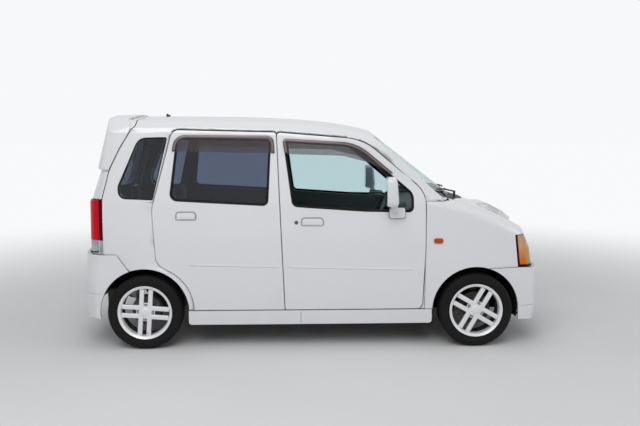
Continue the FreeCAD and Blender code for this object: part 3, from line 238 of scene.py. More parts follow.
def weave_of(tree, given):
    """Height: the product of two sine waves, across and aslant. Mask: noise."""
    x, y, z = xyz(tree)
    ways = maths(tree, "ADD", x, y), maths(tree, "ADD", z, maths(tree, "MULTIPLY", x, 0.4))
    waves = [maths(tree, "SINE", maths(tree, "MULTIPLY", way, given["Scale"])) for way in ways]
    return maths(tree, "MULTIPLY", *waves), noise(tree, 60.0, 4.0)


grain_group = new_group("grain", {"Scale": 400.0, "Amount": 1.0}, ("Height", "Mask"), grain_of)
dust_group = new_group("road_dust", {"Top": 0.7, "Amount": 0.5}, ("Mask",), dust_of)
weave_group = new_group("weave", {"Scale": 900.0}, ("Height", "Mask"), weave_of)
print("groups", [g.name for g in bpy.data.node_groups])

# %% [markdown]
# A finish is one Principled shader. Its steady values are set on its own sockets; only colour,
# roughness and normal vary over the surface, and those come from the groups.
# Painted image textures would need unwrapped pieces; noise in object coordinates needs nothing.

# %% Finishes
DUST_COLOR, DUST_ROUGH, GRAIN_DEPTH = (0.33, 0.30, 0.26), 0.5, 0.0006


def shader(made):
    """The inputs of a material's Principled shader."""
    return made.node_tree.nodes["Principled BSDF"].inputs


def bump(tree, height, strength, depth):
    """A normal that leans with a height."""
    return new_node(tree, "Bump", "Normal", {"Height": height, "Strength": strength, "Distance": depth})


def finish(name, color, roughness, metallic=0.0, coat=0.0, dust=0.0, dust_top=0.7, grain=0.0,
           scale=400.0, vary=0.06, weave=0.0, sheen=0.0, transmission=0.0, ior=1.5, specular=0.5):
    """A material with road dust, small changes of tone, and grain or weave as bump."""
    made = bpy.data.materials.new(name)
    made.use_nodes = True
    tree = made.node_tree
    feed(tree, shader(made), {
        "Base Color": color, "Roughness": roughness, "Metallic": metallic, "Coat Weight": coat,
        "Coat Roughness": 0.04, "Sheen Weight": sheen, "Transmission Weight": transmission,
        "IOR": ior, "Specular IOR Level": specular})
    if transmission:
        return made
    group = weave_group if weave else grain_group
    grains = new_node(tree, "Group", "Mask", {"Scale": scale}, node_tree=group)
    dirt = new_node(tree, "Group", "Mask", {"Top": dust_top, "Amount": dust}, node_tree=dust_group)
    tones = [tuple(min(c * (1 + change), 1) for c in color) for change in (-vary, vary)]
    rough = {"Value": dirt, "To Min": roughness, "To Max": min(roughness + DUST_ROUGH, 0.95)}
    feed(tree, shader(made), {
        "Base Color": mix(tree, dirt, mix(tree, grains, *tones), DUST_COLOR),
        "Roughness": new_node(tree, "MapRange", "Result", rough)})
    if grain or weave:
        height = grains.node.outputs["Height"]
        feed(tree, shader(made), {"Normal": bump(tree, height, grain or weave, GRAIN_DEPTH)})
    return made


paint = finish("white_paint", (0.78, 0.79, 0.80), 0.32, coat=1.0, dust=0.22, dust_top=0.6,
               grain=0.02, scale=900, vary=0.012)
black = finish("moulded_black", (0.022, 0.022, 0.024), 0.55, grain=0.35, scale=1500,
               dust=0.5, dust_top=0.6)
rubber = finish("seal_rubber", (0.004, 0.004, 0.004), 0.60, grain=0.15, scale=900, specular=0.2)
arch_black = finish("arch_liner", (0.004, 0.004, 0.004), 0.9, dust=0.08, dust_top=0.6, grain=0.6,
                    scale=700, specular=0.2)
tyre_black = finish("tyre_rubber", (0.0055, 0.0055, 0.006), 0.70, dust=0.025, dust_top=0.5,
                    grain=0.4, scale=1400, vary=0.15, specular=0.2)
chassis = finish("chassis_paint", (0.035, 0.035, 0.037), 0.6, dust=0.9, grain=0.3)
cast = finish("cast_iron", (0.045, 0.042, 0.040), 0.75, metallic=0.3, dust=0.6, grain=0.5,
              scale=1200, vary=0.25)
steel = finish("bare_steel", (0.42, 0.41, 0.40), 0.38, metallic=1.0, dust=0.4, grain=0.1, vary=0.12)
silver_paint = finish("alloy_silver", (0.86, 0.87, 0.88), 0.34, metallic=0.25, coat=0.6, dust=0.14,
                      dust_top=0.6, grain=0.05)
# Near black inside the rim's barrel behind the spokes: partly brake dust, partly painted shade.
barrel_dark = finish("barrel_dust_and_shade", (0.055, 0.054, 0.052), 0.7, metallic=0.3, grain=0.4, vary=0.3)
chrome = finish("bright_reflector", (0.86, 0.87, 0.88), 0.08, metallic=1.0)
mirror_glass = finish("mirror_glass", (0.90, 0.92, 0.93), 0.02, metallic=1.0)
plate_white = finish("plate_white", (0.80, 0.80, 0.78), 0.35, coat=0.3, vary=0.02, dust=0.2, dust_top=0.6)
trim_grey = finish("moulded_grey", (0.10, 0.10, 0.105), 0.6, grain=0.4, scale=1300)
cloth = finish("seat_cloth", (0.27, 0.26, 0.245), 0.95, weave=0.8, scale=2600, vary=0.16, sheen=0.4)
headliner = finish("headliner", (0.48, 0.47, 0.45), 0.95, grain=0.6, scale=1800, vary=0.05, sheen=0.2)
bronze = finish("visor_edge", (0.040, 0.026, 0.022), 0.25, coat=0.4, vary=0.1)
rose = finish("visor_band", (0.19, 0.135, 0.125), 0.22, coat=0.5, vary=0.08)
print("finishes", len(bpy.data.materials))

# %% [markdown]
# Glass and lamp lenses let light through, so they have their own short recipe: a tinted, nearly
# smooth Principled shader with transmission. Privacy glass is a dark blue-grey that still shows the
# seats, and the visors over the windows are smoked brown-grey, as the real ones are.

# %% Glass and lenses
RIB_DEPTH = 0.001


def clear(name, tint, roughness=0.0, ior=1.2, ribs=0.0, rib_scale=60, weight=1.0, specular=0.5):
    """A see-through material. Ribs are a wave bump, as on moulded lamp lenses."""
    made = finish(name, tint, roughness, transmission=weight, ior=ior, specular=specular)
    if ribs:
        tree = made.node_tree
        wave = new_node(tree, "TexWave", "Fac", {"Vector": coordinates(tree), "Scale": rib_scale})
        feed(tree, shader(made), {"Normal": bump(tree, wave, ribs, RIB_DEPTH)})
    return made


side_glass = clear("door_glass", (0.70, 0.81, 0.82), ior=1.05)
screen_glass = clear("screen_glass", (0.74, 0.88, 0.84), ior=1.05)
dark_glass = clear("privacy_glass", (0.275, 0.32, 0.40), ior=1.45)
smoked = clear("smoked_visor", (0.42, 0.385, 0.39), 0.05, ior=1.15, weight=0.9)
lamp_clear = clear("lamp_lens", (0.96, 0.97, 0.98))
amber = clear("amber_lens", (1.0, 0.24, 0.03), 0.08, ribs=0.5, weight=0.35)
deep_amber = clear("repeater_lens", (0.60, 0.10, 0.02), 0.08, ribs=0.4, rib_scale=90, weight=0.2)
tail_clear = clear("tail_clear", (0.93, 0.94, 0.95), 0.05, ribs=0.3, rib_scale=70)
red = clear("red_lens", (0.75, 0.001, 0.016), 0.16, ribs=0.4, weight=0.06, specular=0.25)
print("materials", len(bpy.data.materials))

# %% [markdown]
# Lamps, windows and bumpers have borders: black print round the windscreen, a black edge on the
# corner lamp, a darker strip in the tail lamp, a grey band of painted shade along a crease and a dark
# joint line on each bumper. A border is every place past one of a few straight lines, so a mask needs
# only the lines' numbers: a*x + b*|y| + c*z > d. The corner lamp's colour also runs to a paler one with
# height.

# %% Borders
PRINT, LAMP_EDGE = (0.008, 0.008, 0.009), (0.010, 0.010, 0.011)
# The first colour is painted shade along a crease on each bumper; the second is the dark of their joint
# lines.
BUMPER_CREASE_SHADE, JOINT = (0.36, 0.37, 0.385), (0.10, 0.10, 0.105)
SOFT_EDGE = 0.0005


def past_lines(tree, lines):
    """1 where a point lies past any line (a, b, c, d), and 0 inside them all."""
    x, y, z = xyz(tree)
    beyond = []
    for *factors, limit in lines:
        spots = zip(factors, (x, maths(tree, "ABSOLUTE", y), z))
        terms = [maths(tree, "MULTIPLY", spot, factor) for factor, spot in spots if factor]
        total = functools.reduce(lambda a, b: maths(tree, "ADD", a, b), terms)
        beyond.append(maths(tree, "SUBTRACT", total, limit))
    worst = functools.reduce(lambda a, b: maths(tree, "MAXIMUM", a, b), beyond)
    return maths(tree, "MULTIPLY", maths(tree, "ADD", worst, SOFT_EDGE), 0.5 / SOFT_EDGE, clamp=True)


def recolor(made, factor, color, turned_round=False):
    """Another colour where the factor is 1, or where it is 0 if turned round."""
    tree, target = made.node_tree, shader(made)["Base Color"]
    kept = target.links[0].from_socket if target.is_linked else tuple(target.default_value[:3])
    pair = (color, kept) if turned_round else (kept, color)
    feed(tree, shader(made), {"Base Color": mix(tree, factor, *pair)})


def border(made, lines, color, inside=False):
    """Another colour past the lines, or within them; near black, a see-through one looks solid."""
    recolor(made, past_lines(made.node_tree, lines), color, inside)


def fade(made, low, high, color):
    """A material's colour runs to another one between two heights."""
    run = {"Value": xyz(made.node_tree)[2], "From Min": low, "From Max": high}
    recolor(made, new_node(made.node_tree, "MapRange", "Result", run), color)


border(screen_glass, [(0, 1, 0.3028, 0.9562), (0, 0, -1, -1.108), (0, 0, 1, 1.472)], PRINT)
fade(amber, 0.63, 0.74, (0.95, 0.52, 0.36))
border(amber, [(1, 0, 0.239, 1.672)], (0.80, 0.46, 0.16))
border(amber, [(-1, 0, -0.1078, -1.5449), (0, 0, -1, -0.592), (0, 0, 1, 0.801)], LAMP_EDGE)
border(red, [(1, 0, 0, -1.506)], (0.085, 0.001, 0.005))
border(tail_clear, [(1, 0, 0, -1.506)], (0.14, 0.145, 0.155))

front_paint, rear_paint = paint.copy(), paint.copy()
# Painted shade: a thin grey band along the front bumper's crease.
border(front_paint, [(-0.0866, 0, 1, 0.1600), (0.0866, 0, -1, -0.1568), (-1, 0, 0, -1.498),
                     (1, 0, 0, 1.625)], BUMPER_CREASE_SHADE, inside=True)
border(front_paint, [(-0.0342, 0, 1, 0.5206), (0, 0, 1, 0.5707)], JOINT)
# Painted shade: a thin grey band along the rear bumper's crease.
border(rear_paint, [(0, 0, 1, 0.4032), (0, 0, -1, -0.4004), (1, 0, 0, -1.50)], BUMPER_CREASE_SHADE, inside=True)
border(rear_paint, [(0, 0, 1, 0.6807), (0.8284, 0, 0.5602, -0.7665)], JOINT)
print("borders on", [m.name for m in (screen_glass, amber, red, tail_clear, front_paint, rear_paint)])

# %% [markdown]
# The floor is a large pale sheet that catches the car's shadow. Away from the car it glows softly to
# the camera, so it runs into the backdrop without a horizon.
# A curved studio sheet would do the same, but it would stand in the way of views from behind.

# %% Floor
FLOOR_HALF, GLOW_FROM, GLOW_FULL, FLOOR_LIGHT = 60, 2.2, 7.5, (0.3, 0.3, 0.3)
floor_mesh = bpy.data.meshes.new("floor")
corners = [(a * FLOOR_HALF, b * FLOOR_HALF, 0) for a, b in ((-1, -1), (1, -1), (1, 1), (-1, 1))]
floor_mesh.from_pydata(corners, [], [(0, 1, 2, 3)])
floor = placed("floor", floor_mesh)
ground = bpy.data.materials.new("pale_floor")
ground.use_nodes = True
tree = ground.node_tree
reach = new_node(tree, "VectorMath", "Value", {0: coordinates(tree)}, operation="LENGTH")
far = new_node(tree, "MapRange", "Result", {"Value": reach, "From Min": GLOW_FROM, "From Max": GLOW_FULL},
               interpolation_type="SMOOTHSTEP")
pale = mix(tree, noise(tree, 0.7), (0.70, 0.70, 0.70), (0.76, 0.76, 0.76))
feed(tree, shader(ground), {
    "Roughness": 0.75, "Specular IOR Level": 0.0, "Base Color": mix(tree, far, pale, (0.02, 0.02, 0.02)),
    "Emission Color": two_strengths(tree, WHITE, FLOOR_LIGHT), "Emission Strength": far})
floor_mesh.materials.append(ground)
print("floor", 2 * FLOOR_HALF, "m wide")

# %% [markdown]
# Trim on the doors has to lie on their curved skin. The body side is a simple formula: an upright
# line of straight runs with rounded corners, whose width changes a little along the car. With it,
# any point seen from the side (x, z) gets its y, and a strip can follow a window's outline.

# %% Body side
# Stations along the car: x, change of half width, height of the roof's edge, in mm.
STATIONS = mm(
    (-1760, -22, 1612), (-1200, -4, 1630), (-500, 0, 1624), (0, 0, 1598), (450, -3, 1520),
    (795, -7, 1400), (1250, -29, 1230)).T
HALF_WIDTH, FOOT, HIP, RAIL, WAIST = 0.734, 0.150, 0.585, 0.800, 1.040
LOW_SLOPE, HIP_SLOPE, RAIL_SLOPE = 0.014 / (HIP - FOOT), 0.005 / (RAIL - HIP), -0.019 / (WAIST - RAIL)


def spline(x, knots, values):
    """A natural cubic spline: bends solved once, then two straight blends and two cubes."""
    gaps, count = np.diff(knots), len(knots)
    matrix, right = np.eye(count), np.zeros(count)
    for i in range(1, count - 1):
        matrix[i, i - 1:i + 2] = gaps[i - 1], 2 * (gaps[i - 1] + gaps[i]), gaps[i]
        right[i] = 6 * ((values[i + 1] - values[i]) / gaps[i] - (values[i] - values[i - 1]) / gaps[i - 1])
    bend = np.linalg.solve(matrix, right)
    i = np.clip(np.searchsorted(knots, x) - 1, 0, count - 2)
    h, a, b = gaps[i], knots[i + 1] - x, x - knots[i]
    straight = (values[i] / h - bend[i] * h / 6) * a + (values[i + 1] / h - bend[i + 1] * h / 6) * b
    return (bend[i] * a ** 3 + bend[i + 1] * b ** 3) / (6 * h) + straight


def bent(z, z0, m1, m2, radius):
    """What rounding adds to two straight runs that meet at height z0 with slopes m1 and m2."""
    run = np.abs(radius * np.tan((np.arctan(m2) - np.arctan(m1)) / 2))
    return (m2 - m1) * np.clip(run - np.abs(z - z0), 0, None) ** 2 / (4 * run)


def side_y(x, z):
    """Half width of the body at (x, z): straight runs up the side, rounded at rail and waist."""
    x, z = np.broadcast_arrays(np.asarray(x, float), np.asarray(z, float))
    knots, widths, roofs = STATIONS
    half = HALF_WIDTH + spline(x, knots, widths)
    top_slope = -0.086 / (spline(x, knots, roofs) - 0.012 - WAIST)
    y = np.where(z < HIP, half - 0.014 + (z - FOOT) * LOW_SLOPE, half + (z - HIP) * HIP_SLOPE)
    y = np.where(z < RAIL, y, half + 0.005 + (z - RAIL) * RAIL_SLOPE)
    y = np.where(z < WAIST, y, half - 0.014 + (z - WAIST) * top_slope)
    return y + bent(z, RAIL, HIP_SLOPE, RAIL_SLOPE, 1.5) + bent(z, WAIST, RAIL_SLOPE, top_slope, 0.3)


print("half width at the front door", side_y(0.3, [0.2, 0.6, 0.8, 1.04, 1.4]).round(4))

# %% [markdown]
# Every piece is made by one helper: it smooths a mesh, gives it one finish or two, and lets it ride
# on a body. Most trim comes in pairs, so another one asks for the mesh of each side.

# %% Pieces


def reworked(mesh, change):
    """Opens a mesh, lets a function change it, and writes it back."""
    work = bmesh.new()
    work.from_mesh(mesh)
    change(work)
    work.to_mesh(mesh)
    work.free()
    return mesh


def finish_faces(mesh, material, chosen):
    """Gives the chosen faces, a row of true and false, one more material."""
    mesh.materials.append(material)
    index = np.empty(len(mesh.polygons), np.int32)
    mesh.polygons.foreach_get("material_index", index)
    index[chosen] = len(mesh.materials) - 1
    mesh.polygons.foreach_set("material_index", index)


def put(name, mesh, material, body, fold=40, second=None):
    """A piece of a mesh, smooth but for folds, with a second finish on some faces, on its body."""
    mesh.name = name
    mesh.shade_smooth()
    mesh.set_sharp_from_angle(angle=math.radians(fold))
    mesh.materials.append(material)
    if second:
        finish_faces(mesh, *second)
    piece = placed(name, mesh)
    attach(piece, body)
    return piece


def put_both(name, form, material, body, fold=40, second=None):
    """A piece on each side: form gives its mesh for a sign of y."""
    for hand, sign in SIDES:
        ride = body if body == "body" else f"{body}_{hand}"
        put(f"{name}_{hand}", form(sign), material, ride, fold, second)


# %% [markdown]
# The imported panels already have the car's true shapes, but as loose triangles they look faceted.
# A copy of each is merged, smoothed and kept sharp only where the metal really folds. The copy
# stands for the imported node, which stays as it was for the moving model.

# %% Skins
MERGE, SKIN_FOLD = 2e-5, 32


def both(*names):
    """Each name with the right hand and the left."""
    return [f"{name}_{hand}" for name in names for hand, _ in SIDES]


SKINS = [
    (paint, "body_paint", both("side_frame", "door_front", "door_rear") + [
        "roof_panel", "tailgate", "roof_spoiler", "bonnet", "front_wings"]),
    (front_paint, "body_paint", ["front_bumper"]), (rear_paint, "body_paint", ["rear_bumper"]),
    (paint, "body_paint", ["side_skirts"]), (side_glass, "door_glass", both("glazing_front")),
    (dark_glass, "privacy_glass", both("glazing_rear") + ["tailgate_glass"]),
    (screen_glass, "screen_glass", ["fixed_glass"]), (lamp_clear, "lamp_lens", ["headlamps"]),
    (amber, "amber_lens", ["turn_lamps"]), (red, "red_lens", ["tail_lamps"]),
    (black, "black_plastic", ["grille"]), (steel, "steel", ["hinges"]),
    (chassis, "dark_metal", ["floor_pan", "bulkhead", "front_frame"]),
    (arch_black, "black_plastic", ["wheel_housings"]), (cast, "cast_metal", ["engine_block"]),
    (trim_grey, "inner_trim", ["dashboard", "steering_wheel"]),
    (cast, "cast_metal", ["front_suspension", "rear_axle"]), (chassis, "dark_metal", ["fuel_tank"]),
    (steel, "steel", ["exhaust"]), (black, "black_plastic", ["wipers"]),
    (cast, "cast_metal", both("knuckle")),
]


def skin(node, material):
    """A merged, smooth-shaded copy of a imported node, which it replaces in pictures."""
    source = frame["nodes"][node]
    mesh = source.data.copy()
    mesh.materials.clear()
    reworked(mesh, lambda work: bmesh.ops.remove_doubles(work, verts=work.verts, dist=MERGE))
    piece = put(node + "_skin", mesh, material, source["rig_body"], SKIN_FOLD)
    piece.modifiers.new("even_normals", "WEIGHTED_NORMAL").keep_sharp = True
    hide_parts(node)
    return piece


skins = {node: skin(node, material) for material, slot_name, nodes in SKINS for node in nodes}
print("skins", len(skins), "triangles", sum(len(o.data.polygons) for o in skins.values()))

# %% [markdown]
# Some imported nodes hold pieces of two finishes: the quarter windows share a node with the
# windscreen, and each tail lamp has a red lens above a clear one. A second material goes to faces
# by a test of their middles m and normals n, each as rows of x, y and z.

# %% Second finishes


def read(items, field="co"):
    """Places or directions of a mesh's vertices or faces, shape (count, 3)."""
    found = np.empty(len(items) * 3)
    items.foreach_get(field, found)
    return found.reshape(-1, 3)


def looks_in(m, n):
    """Faces that look to the middle of the car from under its skin."""
    return (n[1] * np.sign(m[1]) < -0.6) & (np.abs(m[1]) < side_y(m[0], m[2]) - 0.012)


def outer_face(m, n):
    """Faces that lie on the body's side: the visors, which stand over the glass."""
    return np.abs(m[1]) > side_y(m[0], m[2]) - 0.003


def aerial_foot(m, n):
    """The foot of the aerial on the roof."""
    return (np.hypot(m[0] + 1.118, m[1]) < 0.019) & ((np.abs(n[2]) < 0.5) | (m[2] > 1.662))


for nodes, material, chosen in (
        (["fixed_glass"], dark_glass, lambda m, n: m[0] < 0),
        (["tail_lamps"], tail_clear, lambda m, n: m[2] < 0.781),
        (["tail_lamps"], chrome, lambda m, n: n[0] > 0.5),
        (["headlamps"], black, lambda m, n: np.abs(n[2]) > 0.7),
        (["headlamps"], chrome, lambda m, n: n[0] < -0.4),
        (["turn_lamps"], deep_amber, lambda m, n: m[0] < 1.0),
        (["turn_lamps"], chrome, lambda m, n: (n[0] < -0.4) & (m[0] > 1.0)),
        (["roof_panel"], headliner, lambda m, n: n[2] < -0.5), (["roof_panel"], black, aerial_foot),
        (["tailgate"], trim_grey, lambda m, n: (n[0] > 0.6) & (m[0] > -1.63) & (np.abs(m[1]) < 0.56)),
        (both("glazing_front", "glazing_rear"), smoked, outer_face),
        (both("door_front", "door_rear", "side_frame"), trim_grey, looks_in)):
    for node in nodes:
        mesh = skins[node].data
        middles, normals = read(mesh.polygons, "center").T, read(mesh.polygons, "normal").T
        finish_faces(mesh, material, chosen(middles, normals))
skins["side_skirts"].data.set_sharp_from_angle(angle=math.radians(14))
print("second finishes on", sum(len(o.data.materials) > 1 for o in skins.values()), "skins")

# %% [markdown]
# With the skins in place, the formula can be tested on the imported doors. Projecting each strip on
# the mesh would also work, but a formula is smoother. The points of inner faces and edges lie deeper,
# so only low percentiles of all points are printed here.

# %% Test of the formula
for node in ("door_front_right", "door_rear_right"):
    x, y, z = read(skins[node].data.vertices).T
    off = (side_y(x, z) + y)[(y < -0.62) & (y > -0.741) & (z < 1.5)]
    print(node, "formula against the packed skin, mm", np.percentile(off * 1000, (1, 5, 10, 25)).round(2))

# %% [markdown]
# All trim is made in the same three steps: a path through rounded corners, a grid of points that
# becomes an open sheet or a closed form, and a piece that rides on a body.

# %% Paths and grids


def rounded(corners, step=0.006):
    """A closed, even row of points through corners (a, b, radius) in mm, with tangent arcs."""
    corners = mm(*corners)
    spots, pieces = corners[:, :2], []
    for i, (spot, radius) in enumerate(zip(spots, corners[:, 2])):
        back, ahead = (other / np.linalg.norm(other) for other in (
            spots[i - 1] - spot, spots[(i + 1) % len(spots)] - spot))
        angle = math.acos(np.clip(back @ ahead, -1, 1))
        run = radius / math.tan(angle / 2)
        t = np.linspace(0, 1, max(int(radius * (math.pi - angle) / step), 2))[:, None]
        first, last = (1 - t) ** 2, t ** 2
        middle = 2 * t * (1 - t) * math.cos((math.pi - angle) / 2)
        arc = first * (spot + back * run) + middle * spot + last * (spot + ahead * run)
        pieces.append(arc / (first + middle + last))
    path = np.concatenate(pieces + [pieces[0][:1]])
    gone = np.concatenate([[0], np.cumsum(np.linalg.norm(np.diff(path, axis=0), axis=1))])
    even = np.linspace(0, gone[-1], max(int(gone[-1] / step), 8) + 1)[:-1]
    return np.stack([np.interp(even, gone, path[:, i]) for i in (0, 1)], 1)


def points(x, y, z):
    """A grid of points from arrays that stretch to one shape."""
    return np.stack(np.broadcast_arrays(x, y, z), -1)


def sheet(grid, flip=False, closed="", caps=False):
    """Quads over a grid of points, shape (u, v, 3), closed along u, v or both, or capped."""
    rows, cols = grid.shape[:2]
    a, b = np.meshgrid(np.arange(rows - ("u" not in closed)), np.arange(cols - ("v" not in closed)),
                       indexing="ij")
    up, right = (a + 1) % rows, (b + 1) % cols
    quads = np.stack([a * cols + b, up * cols + b, up * cols + right, a * cols + right], -1)
    faces = quads.reshape(-1, 4).tolist()
    if caps:
        faces += [list(range(cols))[::-1], list(range((rows - 1) * cols, rows * cols))]
    mesh = bpy.data.meshes.new("form")
    mesh.from_pydata(grid.reshape(-1, 3).tolist(), [], faces)
    mesh.update()
    if flip:
        mesh.flip_normals()
    return mesh


def outward(work):
    """Merges doubled points and turns every face of a closed form outwards."""
    bmesh.ops.remove_doubles(work, verts=work.verts, dist=1e-6)
    bmesh.ops.recalc_face_normals(work, faces=work.faces)


def solid(grid, closed="u", caps=False):
    """A closed form over a grid of points."""
    return reworked(sheet(grid, closed=closed, caps=caps), outward)


print("a rounded square has", len(rounded([(0, 0, 9), (90, 0, 9), (90, 90, 9), (0, 90, 9)])), "points")

# %% [markdown]
# Window seals are soft black rubber that fills the step between the painted opening and the glass.
# One cross-section, given as how far in from the edge and how deep below the skin, is carried round
# each opening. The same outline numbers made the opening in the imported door, so the strip fits.

# %% Window seals
OPENINGS = {
    "door_front": [(-152, 1016, 46), (-216, 1478, 30), (300, 1447, 330), (706, 1106, 90), (706, 974, 36),
                   (360, 980, 800)],
    "door_rear": [(-322, 1021, 40), (-300, 1486, 40), (-962, 1500, 48), (-1014, 1060, 52)],
    "side_frame": [(-1128, 1064, 6), (-1026, 1502, 12), (-1228, 1498, 80), (-1372, 1160, 70),
                   (-1368, 1073, 56)],
}
SEAL = mm((-1.6, 0.2), (0.4, -0.8), (5, -0.5), (12, 1.8), (15.4, 4.6), (16, 6.4))
THIN_SEAL = mm((-1.0, 0.4), (0.4, -0.3), (4, 0.6), (7, 3.0), (8.2, 5.0), (8.4, 6.4))


def inward_normals(path):
    """Unit normals in the plane of a closed path, pointing to its inside."""
    along = np.roll(path, -1, 0) - np.roll(path, 1, 0)
    along /= np.linalg.norm(along, axis=1)[:, None]
    normal = np.stack([-along[:, 1], along[:, 0]], 1)
    area = np.sum(path[:, 0] * np.roll(path[:, 1], -1) - np.roll(path[:, 0], -1) * path[:, 1])
    return normal if area > 0 else -normal


def strip(path, profile, sign):
    """A cross-section (distance in, depth) carried along a path on the body side."""
    distance, depth = profile.T
    x, z = np.moveaxis(path[:, None] + inward_normals(path)[:, None] * distance[:, None], -1, 0)
    return points(x, sign * (side_y(x, z) - depth), z)


for part, corners in OPENINGS.items():
    body, profile = ("body", THIN_SEAL) if part == "side_frame" else (part, SEAL)
    put_both(part + "_seal", lambda sign: solid(strip(rounded(corners), profile, sign)),
             rubber, body, 60)
print("seals", len(OPENINGS) * 2)

# %% [markdown]
# The rain visors over the side windows have a bronze edge and a rosy band along their top and ends.
# The lower edge stays bare: the band ends at the outline's fourth corner.
# The band could be painted on the visor, but a strip of its own has an edge that catches light.

# %% Visor bands
VISORS = {
    "front": [(-204, 1384, 6), (-222, 1494, 24), (306, 1463, 340), (590, 1226, 5), (400, 1322, 240),
              (200, 1372, 240)],
    "rear": [(-274, 1390, 6), (-284, 1512, 50), (-978, 1519, 90), (-994, 1402, 6)],
}
LAST_CORNER, ROSY_FROM = 3, 4
BAND = mm(
    (-0.2, -5.0), (0.0, -8.0), (1.0, -8.6), (6.0, -8.6), (7.0, -8.9), (18.0, -8.9), (19.4, -8.0))
for part, corners in VISORS.items():
    path = rounded(corners)
    end = int(np.argmin(np.linalg.norm(path - mm(*corners[LAST_CORNER][:2]), axis=1)))
    rosy = np.tile(np.arange(len(BAND) - 1) >= ROSY_FROM, end)
    put_both("visor_band_" + part, lambda sign: sheet(
        strip(path, BAND, sign)[:end + 1], flip=(sign < 0) == (part == "front")),
        bronze, "door_" + part, 60, (rose, rosy))
print("visor bands", len(VISORS) * 2)

# %% [markdown]
# A flap door handle sits in a frame that is rounder above than below. Its height over the skin is a
# function of the distance from two rounded rectangles: a low lip round the frame, a gap inside it that
# is dark partly as a real gap and partly as painted shade, a thin ring of painted shade just outside the
# lip, and the flap that the fingers lift, which falls away along its lower edge.
# Cutting it into the door would need a fine mesh there; a small dense sheet of its own doesn't.

# %% Door handles
# Middle x and z, half length and half height.
HANDLES = {"door_rear": (-0.8975, 0.9535, 0.074, 0.031), "door_front": (-0.011, 0.910, 0.081, 0.031)}
LIP_IN, LIP_HEIGHT, LIP_WIDTH = 0.004, 0.0036, 0.0030
FLAP_IN, FLAP_HEIGHT, FLAP_FALL = 0.0085, 0.0066, 0.0012


def box_distance(a, b, half_a, half_b, radius):
    """Signed distance from a rounded rectangle: negative inside."""
    qa, qb = np.abs(a) - half_a + radius, np.abs(b) - half_b + radius
    return np.hypot(np.clip(qa, 0, None), np.clip(qb, 0, None)) + np.minimum(np.maximum(qa, qb), 0) - radius


def smooth(x, low, high):
    """An S-curve from 0 at low to 1 at high."""
    t = np.clip((x - low) / (high - low), 0, 1)
    return t * t * (3 - 2 * t)


def handle_form(half_x, half_z):
    """Places on a handle, their height over the skin, and which faces are dark: a ridge where the
    outer distance is near 0, a plateau within the flap, dark in the gap, partly real and partly
    painted shade, and painted shade in a ring outside the lip."""
    u, v = np.linspace(-half_x, half_x, 120)[:, None], np.linspace(-half_z, half_z, 60)
    outer = box_distance(u, v, half_x - LIP_IN, half_z - LIP_IN, np.where(v > 0, 0.0265, 0.011))
    flap = box_distance(u, v, half_x - FLAP_IN, half_z - FLAP_IN, np.where(v > 0, 0.022, 0.0085))
    ridge = LIP_HEIGHT * np.exp(-(outer / LIP_WIDTH) ** 2)
    fall = FLAP_FALL * smooth(-v, 0.005, 0.015) * smooth(-flap, 0.0, 0.004)
    height = ridge + FLAP_HEIGHT * smooth(-flap, -0.001, 0.0035) - fall + 0.0006
    height = np.where(outer > 0.0035, -0.002, height)
    gap, edge = (0.25 * (d[1:, 1:] + d[:-1, 1:] + d[1:, :-1] + d[:-1, :-1]) for d in (flap, outer))
    # Painted shade: the faces in the gap round the flap and in a thin ring just outside the lip.
    gap_and_painted_shade = (np.abs(gap - 0.0008) < 0.0009) | (edge > 0.0004)
    return u, v, height, gap_and_painted_shade.ravel()


for part, (x0, z0, half_x, half_z) in HANDLES.items():
    u, v, height, gap_and_painted_shade = handle_form(half_x, half_z)
    x, z = x0 + u, z0 + v
    # The black rubber on those faces is painted shade, together with the gap's own dark.
    put_both(part + "_handle", lambda sign: sheet(points(x, sign * (side_y(x, z) + height), z), sign < 0),
             paint, part, 75, (rubber, gap_and_painted_shade))
print("handles", len(HANDLES) * 2)

# %% [markdown]
# The key lock is a small turned disc with a hole, beside the front handle. Round things are made
# by turning a profile, as on a lathe, which gives even rounds from a few numbers.

# %% Key locks
LOCK_X, LOCK_Z = -0.124, 0.905
LOCK = mm(
    (-1, 13.5), (2, 13.5), (3.2, 12.2), (3.2, 9.5), (2.2, 9), (2.2, 2.8), (1, 2.6), (1, 0.1))


def turned(profile, centre=(0, 0, 0), axis=1, steps=48):
    """Profile points (distance along the axis, radius) turned about an axis through centre."""
    angle = np.linspace(0, 2 * np.pi, steps, endpoint=False)[:, None]
    along, radius = profile.T
    grid = [radius * np.cos(angle), radius * np.sin(angle)]
    grid.insert(axis, along)
    return points(*grid) + centre


lock_y = float(side_y(LOCK_X, LOCK_Z))
put_both("key_lock", lambda sign: solid(turned((LOCK + (lock_y, 0)) * (sign, 1), (LOCK_X, 0, LOCK_Z))),
         trim_grey, "door_front")
print("locks at", round(lock_y, 4))

# %% [markdown]
# A crease runs along both doors a little below the middle. On the imported doors it is only a change
# of slope, so a low ledge, with painted shade on its lower row and fading out above and at its ends,
# gives it the fine shadow of the real one.
# A line in the paint's colour would lie flat and stay the same from every side.

# %% Door creases
LEDGE = mm((-2.2, 0.6), (0, -2.4), (2.5, -1.8), (10, -0.6), (17, 0.6))
CREASES = {"door_rear": [(-874, 604), (-226, 587)], "door_front": [(-212, 586.6), (724, 562)]}
END_DEPTH = 0.0006
